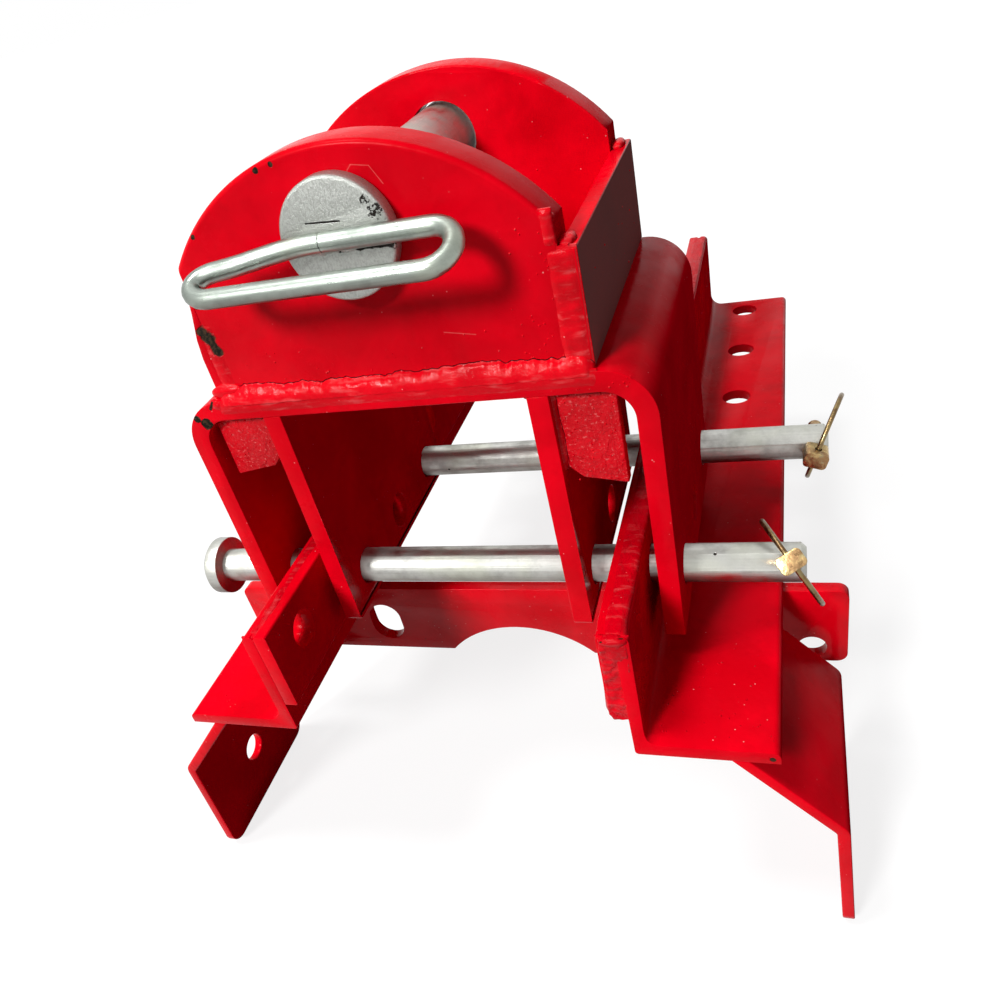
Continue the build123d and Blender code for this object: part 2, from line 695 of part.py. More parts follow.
angle_right.part.label = "angle_right"
angle_left.part.label = "angle_left"
doubler_right.part.label = "doubler_right"
doubler_left.part.label = "doubler_left"
cross_plate.part.label = "cross_plate"
wing_right.part.label = "wing_right"
wing_left.part.label = "wing_left"
frame_welds.part.label = "frame_welds"
saddle_channel.part.label = "saddle_channel"
inner_plate_right.part.label = "inner_plate_right"
inner_plate_left.part.label = "inner_plate_left"
tabs_right.part.label = "tabs_right"
tabs_left.part.label = "tabs_left"
saddle_welds.part.label = "saddle_welds"
cheek_front.part.label = "cheek_front"
cheek_rear.part.label = "cheek_rear"
side_plate_right.part.label = "side_plate_right"
side_plate_left.part.label = "side_plate_left"
clevis_welds.part.label = "clevis_welds"
towing_pin.part.label = "towing_pin"
pin_disc.part.label = "pin_disc"
pin_handle.part.label = "pin_handle"
handle_weld.part.label = "handle_weld"
cross_pin_front.part.label = "cross_pin_front"
cross_pin_rear.part.label = "cross_pin_rear"
lynch_pin_front.part.label = "lynch_pin_front"
lynch_pin_rear.part.label = "lynch_pin_rear"
lynch_ring_front.part.label = "lynch_ring_front"
lynch_ring_rear.part.label = "lynch_ring_rear"

export_step(angle_right.part, "parts/angle_right.step")
export_step(angle_left.part, "parts/angle_left.step")
export_step(doubler_right.part, "parts/doubler_right.step")
export_step(doubler_left.part, "parts/doubler_left.step")
export_step(cross_plate.part, "parts/cross_plate.step")
export_step(wing_right.part, "parts/wing_right.step")
export_step(wing_left.part, "parts/wing_left.step")
export_step(frame_welds.part, "parts/frame_welds.step")
export_step(saddle_channel.part, "parts/saddle_channel.step")
export_step(inner_plate_right.part, "parts/inner_plate_right.step")
export_step(inner_plate_left.part, "parts/inner_plate_left.step")
export_step(tabs_right.part, "parts/tabs_right.step")
export_step(tabs_left.part, "parts/tabs_left.step")
export_step(saddle_welds.part, "parts/saddle_welds.step")
export_step(cheek_front.part, "parts/cheek_front.step")
export_step(cheek_rear.part, "parts/cheek_rear.step")
export_step(side_plate_right.part, "parts/side_plate_right.step")
export_step(side_plate_left.part, "parts/side_plate_left.step")
export_step(clevis_welds.part, "parts/clevis_welds.step")
export_step(towing_pin.part, "parts/towing_pin.step")
export_step(pin_disc.part, "parts/pin_disc.step")
export_step(pin_handle.part, "parts/pin_handle.step")
export_step(handle_weld.part, "parts/handle_weld.step")
export_step(cross_pin_front.part, "parts/cross_pin_front.step")
export_step(cross_pin_rear.part, "parts/cross_pin_rear.step")
export_step(lynch_pin_front.part, "parts/lynch_pin_front.step")
export_step(lynch_pin_rear.part, "parts/lynch_pin_rear.step")
export_step(lynch_ring_front.part, "parts/lynch_ring_front.step")
export_step(lynch_ring_rear.part, "parts/lynch_ring_rear.step")
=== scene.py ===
# %% [markdown]
# # A tractor's trailer hitch, dressed in paint and zinc
# The hitch slides along two drilled arms and is locked by two cross pins. Every plate, pin and bolt hole has
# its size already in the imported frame, so this lesson only adds what a frame can't hold: softened edges, weld
# beads, bent rod, paint that has been knocked about, and metal that has been handled.

# %% Load the frame
import json
import math
import random
import bpy
import bmesh
from mathutils import Matrix, Vector, noise


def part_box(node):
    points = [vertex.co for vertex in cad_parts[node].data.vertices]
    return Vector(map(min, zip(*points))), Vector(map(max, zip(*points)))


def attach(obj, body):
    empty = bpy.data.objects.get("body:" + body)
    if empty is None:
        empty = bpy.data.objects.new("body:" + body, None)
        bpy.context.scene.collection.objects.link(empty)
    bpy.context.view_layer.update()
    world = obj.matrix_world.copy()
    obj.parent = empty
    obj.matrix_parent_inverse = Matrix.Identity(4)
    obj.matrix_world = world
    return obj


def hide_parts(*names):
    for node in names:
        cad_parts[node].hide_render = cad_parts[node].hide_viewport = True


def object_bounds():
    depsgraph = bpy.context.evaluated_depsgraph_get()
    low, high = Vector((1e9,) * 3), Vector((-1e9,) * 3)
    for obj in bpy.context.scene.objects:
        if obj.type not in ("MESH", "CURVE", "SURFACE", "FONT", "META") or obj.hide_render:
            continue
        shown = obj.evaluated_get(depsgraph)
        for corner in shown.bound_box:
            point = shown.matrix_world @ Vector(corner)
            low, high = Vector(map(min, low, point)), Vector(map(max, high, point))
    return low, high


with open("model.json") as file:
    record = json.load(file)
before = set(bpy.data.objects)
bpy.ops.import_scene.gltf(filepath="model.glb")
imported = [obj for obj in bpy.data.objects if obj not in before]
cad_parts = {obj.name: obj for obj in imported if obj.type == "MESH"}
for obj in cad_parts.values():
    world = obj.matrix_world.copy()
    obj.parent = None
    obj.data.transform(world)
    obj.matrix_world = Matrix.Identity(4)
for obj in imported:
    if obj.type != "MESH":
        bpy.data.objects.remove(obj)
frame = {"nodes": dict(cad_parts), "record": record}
cad_low, cad_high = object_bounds()
MM = 0.001
print("frame size in mm:", [round((b - a) * 1000, 1) for a, b in zip(cad_low, cad_high)])

# %% [markdown]
# ## The camera first
# A wide phone lens held close, a little above the hitch and tilted. The position, turn and lens come from a
# fit of known points, so the picture and the model can be laid over each other. The focal length and the place
# of the lens axis are in pixels, as the fit gave them, and a small shift sets the axis there.

# %% Place the camera
CAMERA_PLACE = Vector((0.1704, -0.6793, 0.3350))
CAMERA_AZIMUTH, CAMERA_DOWN, CAMERA_ROLL = (math.radians(a) for a in (-25.63, 35.05, 16.09))
PICTURE = 1000
FOCAL_LENGTH, LENS_AXIS_X, LENS_AXIS_Y = 865.2, 471.2, 547.4
SENSOR_WIDTH = 36


def aim_camera():
    """Builds the camera from its direction, its tilt and its roll."""
    ahead = Vector((math.sin(CAMERA_AZIMUTH) * math.cos(CAMERA_DOWN),
                    math.cos(CAMERA_AZIMUTH) * math.cos(CAMERA_DOWN), -math.sin(CAMERA_DOWN)))
    right = ahead.cross(Vector((0, 0, 1))).normalized()
    down = ahead.cross(right)
    c, s = math.cos(CAMERA_ROLL), math.sin(CAMERA_ROLL)
    across = right * c + down * s
    below = down * c - right * s
    lens = bpy.data.cameras.new("photo_camera")
    lens.sensor_width = SENSOR_WIDTH
    lens.lens = SENSOR_WIDTH * FOCAL_LENGTH / PICTURE
    lens.shift_x = (PICTURE / 2 - LENS_AXIS_X) / PICTURE
    lens.shift_y = (LENS_AXIS_Y - PICTURE / 2) / PICTURE
    lens.clip_start, lens.clip_end = 0.02, 200
    camera = bpy.data.objects.new("photo_camera", lens)
    bpy.context.scene.collection.objects.link(camera)
    turn = Matrix((across, -below, -ahead)).transposed().to_4x4()
    camera.matrix_world = Matrix.Translation(CAMERA_PLACE) @ turn
    bpy.context.scene.camera = camera
    return camera


camera = aim_camera()
print("camera at", [round(v, 3) for v in camera.location])

# %% [markdown]
# ## Nodes written as short lines
# A material is a small graph. These helpers add one node and join it in a single line, so that each finish
# below reads like a recipe: make a pattern, shape it, and send it to the shader.

# %% Helpers for shader graphs


class Finish:
    """A material under construction, with helpers that add and join nodes."""

    def __init__(self, name):
        self.material = bpy.data.materials.new(name)
        self.material.use_nodes = True
        self.tree = self.material.node_tree
        self.shader = self.tree.nodes["Principled BSDF"]
        self.place = self.add("ShaderNodeTexCoord").outputs["Object"]

    def add(self, kind, **settings):
        node = self.tree.nodes.new(kind)
        for key, value in settings.items():
            setattr(node, key, value)
        return node

    def join(self, source, target):
        self.tree.links.new(source, target)

    def feed(self, socket, value):
        if isinstance(value, bpy.types.NodeSocket):
            self.join(value, socket)
        else:
            socket.default_value = value

    def stretch(self, scale):
        """The place, scaled along each axis. A small scale draws a pattern out along that axis."""
        node = self.add("ShaderNodeMapping")
        self.join(self.place, node.inputs["Vector"])
        node.inputs["Scale"].default_value = scale
        return node.outputs["Vector"]

    def cloud(self, size, detail=4, rough=0.55, where=None, warp=0.0):
        """Soft noise from 0 to 1 whose blotches are about size across, in metres."""
        node = self.add("ShaderNodeTexNoise")
        self.join(where or self.place, node.inputs["Vector"])
        node.inputs["Scale"].default_value = 1 / size
        node.inputs["Detail"].default_value = detail
        node.inputs["Roughness"].default_value = rough
        node.inputs["Distortion"].default_value = warp
        return node.outputs["Fac"]

    def cells(self, size):
        """The distance to the nearest of many scattered points, for dots."""
        node = self.add("ShaderNodeTexVoronoi")
        self.join(self.place, node.inputs["Vector"])
        node.inputs["Scale"].default_value = 1 / size
        return node.outputs["Distance"]

    def ramp(self, value, low, high, start=0.0, end=1.0):
        """A value eased from start at low to end at high."""
        node = self.add("ShaderNodeMapRange", interpolation_type="SMOOTHSTEP")
        self.join(value, node.inputs["Value"])
        node.inputs["From Min"].default_value = low
        node.inputs["From Max"].default_value = high
        node.inputs["To Min"].default_value = start
        node.inputs["To Max"].default_value = end
        return node.outputs["Result"]

    def math(self, kind, a, b=0.0, c=None):
        node = self.add("ShaderNodeMath", operation=kind)
        self.feed(node.inputs[0], a)
        self.feed(node.inputs[1], b)
        if c is not None:
            self.feed(node.inputs[2], c)
        return node.outputs[0]

    def mix(self, share, a, b):
        node = self.add("ShaderNodeMix", data_type="RGBA")
        self.feed(node.inputs["Factor"], share)
        self.feed(node.inputs[6], a if isinstance(a, bpy.types.NodeSocket) else (*a, 1))
        self.feed(node.inputs[7], b if isinstance(b, bpy.types.NodeSocket) else (*b, 1))
        return node.outputs[2]

    def level(self, axis, low, high, start=0.0, end=1.0):
        """A smooth change along one axis of the row frame, from start at low to end at high."""
        node = self.add("ShaderNodeSeparateXYZ")
        self.join(self.place, node.inputs[0])
        return self.ramp(node.outputs[axis], low, high, start, end)

    def stroke(self, begin, end, width, ragged=0.5):
        """1 along a thin ragged line between two points of the row frame, 0 beside it."""
        begin, end = Vector(begin), Vector(end)
        run = end - begin
        offset = self.add("ShaderNodeVectorMath", operation="SUBTRACT")
        self.join(self.place, offset.inputs[0])
        offset.inputs[1].default_value = begin
        along = self.add("ShaderNodeVectorMath", operation="DOT_PRODUCT")
        self.join(offset.outputs["Vector"], along.inputs[0])
        along.inputs[1].default_value = run / run.length_squared
        part = self.math("MINIMUM", self.math("MAXIMUM", along.outputs["Value"], 0.0), 1.0)
        reach = self.add("ShaderNodeVectorMath", operation="SCALE")
        reach.inputs[0].default_value = run
        self.join(part, reach.inputs["Scale"])
        gap = self.add("ShaderNodeVectorMath", operation="DISTANCE")
        self.join(offset.outputs["Vector"], gap.inputs[0])
        self.join(reach.outputs["Vector"], gap.inputs[1])
        wide = self.math("MULTIPLY_ADD", self.cloud(0.003, 3, 0.6), ragged * 2, 1 - ragged)
        share_of_width = self.math("DIVIDE", gap.outputs["Value"], self.math("MULTIPLY", wide, width))
        return self.ramp(share_of_width, 0.7, 1.1, 1, 0)

    def bump(self, height, depth, below=None):
        node = self.add("ShaderNodeBump")
        self.join(height, node.inputs["Height"])
        node.inputs["Distance"].default_value = depth
        node.inputs["Strength"].default_value = 1.0
        if below is not None:
            self.join(below, node.inputs["Normal"])
        return node.outputs["Normal"]

    def spot(self, centre, radius, ragged=0.6, wave=0.004):
        """1 inside a ragged patch round a point of the row frame, 0 outside."""
        gap = self.add("ShaderNodeVectorMath", operation="DISTANCE")
        self.join(self.place, gap.inputs[0])
        gap.inputs[1].default_value = centre
        edge = self.math("MULTIPLY", self.cloud(wave, 3, 0.6), ragged * 2)
        reach = self.math("ADD", self.math("DIVIDE", gap.outputs["Value"], radius), edge)
        return self.ramp(reach, 1 + ragged - 0.12, 1 + ragged + 0.04, 1, 0)


# %% [markdown]
# ## Red enamel
# The steel was sprayed in one thick coat of red over mill scale. Up close it has orange peel, slow waves, a few
# grains of dust and soot, and chips that show dark steel. Colour comes from clouds of different sizes. The gloss
# is low and fades on faces that look up or to the right, which are dull in the photograph. Faces that look to the
# right also take painted shade, a darker maroon mixed into their colour. Chips and bare strokes stand where a
# plate's corner gets knocked. Welds add pale streaks and rough steel adds pale grains, both painted highlights.

# %% Make the red enamel
# Chips by centre and radius, pale scratches by their two ends, and bare strokes by their ends and width, in metres
CHIPS = [
    ((-0.0895, -0.3492, 0.2215), 0.0017), ((-0.0765, -0.3492, 0.2520), 0.0012), ((-0.0345, -0.3490, 0.2735), 0.0013),
    ((-0.0270, -0.3490, 0.2745), 0.0011), ((-0.1105, -0.3520, 0.1620), 0.0034), ((-0.1150, -0.3520, 0.1650), 0.0022),
    ((0.1585, -0.4120, 0.0030), 0.0014),
]
SCRATCHES = [
    ((0.0020, -0.3492, 0.2640), (0.0075, -0.3492, 0.2690)), ((0.0075, -0.3492, 0.2690), (0.0150, -0.3492, 0.2675)),
    ((0.0150, -0.3492, 0.2675), (0.0190, -0.3492, 0.2600)), ((0.0280, -0.3492, 0.1960), (0.0420, -0.3492, 0.1935)),
]
BARE = [
    ((-0.0922, -0.3492, 0.2085), (-0.0900, -0.3492, 0.2050), 0.0034),
    ((-0.0900, -0.3492, 0.2050), (-0.0880, -0.3492, 0.1985), 0.0027),
    ((-0.1020, -0.3520, 0.1735), (-0.1045, -0.3520, 0.1700), 0.0008),
    ((0.0840, -0.4075, 0.0685), (0.0985, -0.4050, 0.0700), 0.0004),
    ((0.0860, -0.4110, 0.0560), (0.0975, -0.4085, 0.0610), 0.0003),
    ((0.0960, -0.4100, 0.0420), (0.0985, -0.4110, 0.0230), 0.0003),
]


def red_enamel(name, light=1.0, relief=0.0, shine=0.06, aside=(0.30, 0.0, 0.004), right_shade_share=0.35, flat=0.75, glint_paint=0.0,
               streak_highlight=0.0):
    """Thick red paint with chips. Relief is the depth of rough steel under the paint, in metres. Shine is the
    gloss. It fades on faces that look to the right, where the darker colour aside is mixed in over a share as
    painted shade, and by the share flat on faces that look up. The two last arguments set how pale two painted
    highlights are: pale grains on the raised scale, and drawn-out pale streaks."""
    f = Finish(name)
    facing = f.add("ShaderNodeSeparateXYZ")
    f.join(f.add("ShaderNodeNewGeometry").outputs["Normal"], facing.inputs[0])
    # 1 on faces that look to the right: it sets the painted shade below and fades the gloss
    side = f.ramp(facing.outputs["X"], 0.25, 0.92)
    dull = f.math("MAXIMUM", side, f.ramp(facing.outputs["Z"], 0.3, 0.9, 0, flat))
    thick = f.cloud(0.05, 4, 0.55, warp=0.4)
    fine = f.cloud(0.008, 4, 0.6)
    red = f.mix(f.ramp(thick, 0.34, 0.66), (0.60 * light, 0.0, 0.006), (0.78 * light, 0.0, 0.009))
    red = f.mix(f.math("MULTIPLY", f.ramp(fine, 0.5, 0.8), 0.3), red, (0.52 * light, 0.0, 0.004))
    dust = f.ramp(f.cells(0.0055), 0.0, 0.085, 1, 0)
    dust = f.math("MULTIPLY", dust, f.ramp(f.cloud(0.028, 3), 0.47, 0.57))
    red = f.mix(f.math("MULTIPLY", dust, 0.85), red, (0.88, 0.48, 0.46))
    soot = f.ramp(f.cells(0.012), 0.0, 0.06, 1, 0)
    soot = f.math("MULTIPLY", soot, f.ramp(f.cloud(0.03, 2), 0.55, 0.65))
    red = f.mix(f.math("MULTIPLY", soot, 0.85), red, (0.03, 0.003, 0.004))
    chips = None
    for centre, radius in CHIPS:
        patch = f.spot(centre, radius)
        chips = patch if chips is None else f.math("MAXIMUM", chips, patch)
    for begin, end in SCRATCHES:
        red = f.mix(f.math("MULTIPLY", f.stroke(begin, end, 0.0003), 0.45), red, (0.80, 0.16, 0.15))
    for begin, end, width in BARE:
        chips = f.math("MAXIMUM", chips, f.stroke(begin, end, width, 0.7))
    # Painted highlights: pale grains that stand in for glints on the raised scale
    if glint_paint:
        grains = f.ramp(f.cloud(0.0017, 4, 0.7), 0.57, 0.66, 0, glint_paint)
        red = f.mix(grains, red, (0.88, 0.30, 0.28))
    # Painted highlights: pale drawn-out streaks that stand in for glints along the weld lumps
    if streak_highlight:
        streaks = f.ramp(f.cloud(0.0032, 4, 0.6, f.stretch((0.22, 1.0, 1.0))), 0.50, 0.76, 0, streak_highlight)
        red = f.mix(streaks, red, (0.84, 0.20, 0.20))
    # Painted shade: faces that look to the right take a share of the darker colour aside
    red = f.mix(f.math("MULTIPLY", side, right_shade_share), red, aside)
    rust = f.mix(f.ramp(f.cloud(0.0015, 3), 0.42, 0.62), (0.010, 0.010, 0.007), (0.055, 0.035, 0.02))
    f.join(f.mix(chips, red, rust), f.shader.inputs["Base Color"])
    gloss = f.ramp(f.cloud(0.02, 4, 0.6), 0.3, 0.75, 0.16, 0.34)
    f.join(f.math("MAXIMUM", gloss, f.math("MULTIPLY", chips, 0.85)), f.shader.inputs["Roughness"])
    f.join(f.math("MULTIPLY_ADD", dull, -shine, shine), f.shader.inputs["Specular IOR Level"])
    f.shader.inputs["Specular Tint"].default_value = (1, 0.75, 0.75, 1)
    waves = f.bump(f.cloud(0.03, 2, 0.5), 0.0008)
    peel = f.bump(f.cloud(0.0026, 2, 0.5), 0.00008, waves)
    if relief:
        scale = f.cloud(0.0042, 4, 0.7, f.stretch((1.0, 0.5, 0.9)), 0.8)
        peel = f.bump(scale, relief, peel)
    f.join(f.bump(f.math("SUBTRACT", 1.0, chips), 0.0006, peel), f.shader.inputs["Normal"])
    return f.material


def crack_soot():
    """The dark line where paint has split along the toe of a weld."""
    f = Finish("split_paint_line")
    f.join(f.mix(f.ramp(f.cloud(0.003, 3), 0.4, 0.6), (0.012, 0.001, 0.002), (0.16, 0.0, 0.004)),
           f.shader.inputs["Base Color"])
    f.shader.inputs["Roughness"].default_value = 0.85
    f.shader.inputs["Specular IOR Level"].default_value = 0.05
    return f.material


enamel = red_enamel("red_enamel")
enamel_rough = red_enamel("red_enamel_over_rough_steel", 0.96, 0.0014, 0.2, glint_paint=0.38)
enamel_weld = red_enamel("red_enamel_over_weld", 1.0, 0.0003, 0.12, flat=0.3, streak_highlight=0.34)
enamel_ground = red_enamel("red_enamel_over_ground_weld", 0.85, 0.0009, 0.12, flat=0.6, streak_highlight=0.2)
# Painted reflection and shade: right-facing faces take a dark brown-grey over most of their colour
enamel_dark_reflection = red_enamel("red_enamel_painted_dark_reflection", 1.0, 0.0, 0.06, (0.18, 0.095, 0.09), 0.86)
enamel_hazy = red_enamel("red_enamel_hazy", 1.0, 0.0, 0.13, flat=0.0)
crack_line = crack_soot()
print("chips placed:", len(CHIPS))

# %% [markdown]
# ## Zinc and yellow zinc
# The pins are turned from bar and plated. Bright zinc is pale, a little green, and carries long draw marks,
# rubbed bands and dark nicks. The lynch pins have a yellow passivation that drifts between gold, pink and
# olive. Both are metals, so nearly all of the look is in how rough they are from place to place.

# %% Make the zinc finishes


DRAW_MARK_DEPTH = 0.00012


def bright_zinc(name, along, painted_shade_heights, tint=(0.50, 0.50, 0.47), rough=0.28):
    """Plated bar with draw marks along one axis (0, 1 or 2). Painted shade and dark reflection turn it brown below
    the two given heights, fading out between them.
    """
    f = Finish(name)
    scale = [1.0, 1.0, 1.0]
    scale[along] = 0.035
    lines = f.cloud(0.0016, 3, 0.6, f.stretch(scale))
    mottle = f.cloud(0.012, 5, 0.65)
    dull = tuple(v * 0.72 for v in tint)
    colour = f.mix(f.ramp(mottle, 0.38, 0.7), tint, dull)
    colour = f.mix(f.math("MULTIPLY", f.ramp(lines, 0.5, 0.75), 0.35), colour, tuple(v * 0.5 for v in tint))
    colour = f.mix(f.math("MULTIPLY", f.ramp(f.cloud(0.05, 3), 0.45, 0.7), 0.35), colour, (0.50, 0.52, 0.38))
    # Painted shade and dark reflection: the lower side of the bar is mixed toward brown
    colour = f.mix(f.level("Z", *painted_shade_heights, 0.85, 0), colour, (0.13, 0.105, 0.09))
    nicks = f.ramp(f.cells(0.013), 0.035, 0.075, 1, 0)
    nicks = f.math("MULTIPLY", nicks, f.ramp(f.cloud(0.022, 2), 0.52, 0.6))
    f.join(f.mix(nicks, colour, (0.05, 0.045, 0.04)), f.shader.inputs["Base Color"])
    f.shader.inputs["Metallic"].default_value = 1.0
    worn = f.ramp(mottle, 0.3, 0.72, rough - 0.04, rough + 0.2)
    f.join(f.math("MAXIMUM", f.math("MULTIPLY_ADD", lines, 0.12, worn), nicks), f.shader.inputs["Roughness"])
    drawn = f.bump(lines, DRAW_MARK_DEPTH)
    f.join(f.bump(f.math("SUBTRACT", 1.0, nicks), 0.0003, drawn), f.shader.inputs["Normal"])
    return f.material


def ground_disc():
    """The disc's sawn face: grainy grey zinc, a paler ground weld above the rod, a few black pits and a painted
    shadow in the gap under the rod.
    """
    f = Finish("zinc_disc_face")
    grain = f.cloud(0.0007, 4, 0.75, f.stretch((1.0, 1.0, 0.6)))
    grey = f.mix(f.ramp(grain, 0.35, 0.65), (0.30, 0.31, 0.285), (0.41, 0.42, 0.395))
    pale = f.stroke((-0.0160, -0.3582, 0.2470), (0.0120, -0.3582, 0.2505), 0.0042)
    grey = f.mix(f.math("MULTIPLY", pale, 0.7), grey, (0.50, 0.51, 0.48))
    pits_and_gap_shadow = f.stroke((-0.0150, -0.3582, 0.2520), (0.0000, -0.3582, 0.2510), 0.00045)
    # Painted shadow: a dark ragged line under the rod, where it stands off the disc, joined to the pits
    rod_gap_shadow = f.stroke((-0.0050, -0.3582, 0.2405), (0.0200, -0.3582, 0.2400), 0.0016, 0.9)
    pits_and_gap_shadow = f.math("MAXIMUM", pits_and_gap_shadow, rod_gap_shadow)
    broken = f.ramp(f.cloud(0.0016, 3, 0.7), 0.49, 0.53)
    for centre, radius in (((0.0135, -0.3582, 0.2570), 0.0024), ((0.0165, -0.3582, 0.2525), 0.0034),
                           ((0.0205, -0.3582, 0.2390), 0.0026), ((-0.0180, -0.3582, 0.2460), 0.0022)):
        patch = f.math("MULTIPLY", f.spot(centre, radius, 0.5, 0.0022), broken)
        pits_and_gap_shadow = f.math("MAXIMUM", pits_and_gap_shadow, patch)
    f.join(f.mix(pits_and_gap_shadow, grey, (0.025, 0.022, 0.02)), f.shader.inputs["Base Color"])
    f.shader.inputs["Metallic"].default_value = 1.0
    f.join(f.ramp(grain, 0.3, 0.7, 0.5, 0.34), f.shader.inputs["Roughness"])
    rough = f.bump(grain, 0.00035)
    f.join(f.bump(f.math("SUBTRACT", 1.0, pits_and_gap_shadow), 0.0009, rough), f.shader.inputs["Normal"])
    return f.material


def yellow_zinc(name, shade=1.0):
    """Yellow passivated plating with slow colour drift. Shade below 1 darkens it."""
    f = Finish(name)
    drift = f.cloud(0.009, 3, 0.5, warp=1.2)
    tints = (0.52, 0.38, 0.17), (0.30, 0.18, 0.085), (0.34, 0.33, 0.20)
    pale, brown, olive = (tuple(v * shade for v in tint) for tint in tints)
    gold = f.mix(f.ramp(drift, 0.35, 0.6), pale, brown)
    gold = f.mix(f.ramp(f.cloud(0.005, 3), 0.55, 0.75, 0, 0.6), gold, olive)
    f.join(gold, f.shader.inputs["Base Color"])
    f.shader.inputs["Metallic"].default_value = 1.0
    f.join(f.ramp(f.cloud(0.003, 4), 0.3, 0.7, 0.22, 0.42), f.shader.inputs["Roughness"])
    f.join(f.bump(f.cloud(0.0018, 3), 0.00018), f.shader.inputs["Normal"])
    return f.material


zinc_across = bright_zinc("zinc_bar_across", 0, (0.0390, 0.0510))
zinc_along = bright_zinc("zinc_bar_along", 1, (0.2300, 0.2520), (0.45, 0.40, 0.37), 0.34)
zinc_rod = bright_zinc("zinc_rod", 0, (0.2310, 0.2365), (0.30, 0.335, 0.30), 0.24)
zinc_disc = ground_disc()
gold_zinc = yellow_zinc("yellow_zinc")
gold_wire = yellow_zinc("yellow_zinc_wire", 0.5)
print("metal finishes:", zinc_across.name, zinc_along.name, zinc_rod.name, zinc_disc.name, gold_zinc.name)

# %% [markdown]
# ## Softening the edges
# A flame-cut or sawn plate never has a razor edge, and paint rounds it further. The frame's meshes are loose
# triangles, so a copy is merged first, flat areas are joined into single faces, and a narrow bevel rolls each
# sharp edge. The copy stands for its node and rides on the same body.

# %% Dress the plates
BODY = {node: body for body, nodes in frame["record"]["behaviour"]["bodies"].items() for node in nodes}


def finish_mesh(mesh, name, material, node=None, body=None, angle=35):
    """Turns a mesh into a piece: material, smooth shading, its body and the node that it stands for."""
    piece = bpy.data.objects.new(name, mesh)
    bpy.context.scene.collection.objects.link(piece)
    if mesh.materials:
        mesh.materials.clear()
    mesh.materials.append(material)
    mesh.shade_smooth()
    mesh.set_sharp_from_angle(angle=math.radians(angle))
    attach(piece, body or BODY[node])
    if node:
        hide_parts(node)
    return piece


def merged_copy(node):
    """The node's mesh with its loose triangles joined."""
    mesh = frame["nodes"][node].data.copy()
    shape = bmesh.new()
    shape.from_mesh(mesh)
    bmesh.ops.remove_doubles(shape, verts=shape.verts, dist=2e-6)
    bmesh.ops.dissolve_limit(shape, angle_limit=math.radians(0.8), verts=shape.verts, edges=shape.edges)
    shape.to_mesh(mesh)
    shape.free()
    return mesh


def baked(mesh, *modifiers):
    """The mesh after a list of modifiers, each given as (kind, settings)."""
    holder = bpy.data.objects.new("holder", mesh)
    bpy.context.scene.collection.objects.link(holder)
    for kind, settings in modifiers:
        step = holder.modifiers.new(kind, kind)
        for key, value in settings.items():
            setattr(step, key, value)
    graph = bpy.context.evaluated_depsgraph_get()
    result = bpy.data.meshes.new_from_object(holder.evaluated_get(graph))
    bpy.data.objects.remove(holder)
    return result


def rolled(mesh, roll, segments=3):
    """The mesh with every sharp edge rolled to a radius given in millimetres."""
    return baked(mesh, ("BEVEL", dict(width=roll * MM, segments=segments, limit_method="ANGLE",
                                      angle_limit=math.radians(40), miter_outer="MITER_ARC")))


def dress(node, name, material, roll=0.9, segments=3):
    """A copy of the node with every sharp edge rolled."""
    return finish_mesh(rolled(merged_copy(node), roll, segments), name, material, node)


def share(value, low, high):
    """How far value has come from low to high, eased at both ends."""
    t = min(1.0, max(0.0, (value - low) / (high - low)))
    return t * t * (3 - 2 * t)


def cut_across(shape, axis, places):
    """Cuts a mesh across one axis (0, 1 or 2) at places given in millimetres."""
    for place in places:
        spot, facing = Vector(), Vector()
        spot[axis], facing[axis] = place * MM, 1
        bmesh.ops.bisect_plane(shape, geom=shape.verts[:] + shape.edges[:] + shape.faces[:],
                               plane_co=spot, plane_no=facing, dist=1e-6)


BENT_FROM = -390.0


def lean(spot):
    """Where a point of the right arm's front end really lies: cut back, leaning, in millimetres."""
    near = share(-spot.y, -BENT_FROM, 412)
    tall = share(spot.z, 5.5, 20)
    back = 5.0 * tall + 2.0 * share(spot.z, 20, 70)
    aside = 3.8 * (1 - share(spot.z, 14, 26)) * (1 - share(spot.x, 93, 104)) + 0.8 * share(spot.z, 20, 40)
    return Vector((spot.x + near * aside, spot.y + near * back, spot.z))


def leaning(mesh):
    """The mesh with a few cuts near the front end of the arm, moved to its leaning shape."""
    shape = bmesh.new()
    shape.from_mesh(mesh)
    cut_across(shape, 1, (BENT_FROM, -395, -400, -405))
    for vert in shape.verts:
        if vert.co.y < BENT_FROM * MM:
            vert.co = lean(vert.co / MM) * MM
    shape.to_mesh(mesh)
    shape.free()
    return mesh


INNER_FACE = -91.0


def corner_ground_off(mesh):
    """The left side plate with the outer corner of its front end ground away towards the top."""
    shape = bmesh.new()
    shape.from_mesh(mesh)
    cut_across(shape, 1, (-341, -345))
    cut_across(shape, 2, (185, 195, 205, 215))
    for vert in shape.verts:
        spot = vert.co / MM
        kept = 1 - share(-spot.y, 341, 349) * share(spot.z, 195, 235)
        vert.co.x = (INNER_FACE + (spot.x - INNER_FACE) * kept) * MM
    shape.to_mesh(mesh)
    shape.free()
    return mesh


ROLLS = {
    "saddle_channel": 1.1, "inner_plate_left": 1.0, "inner_plate_right": 1.0, "tabs_left": 0.9, "tabs_right": 0.9,
    "cheek_rear": 1.2, "cheek_front": 1.2, "side_plate_right": 0.9,
    "cross_plate": 1.0, "wing_left": 1.0, "wing_right": 1.0,
}
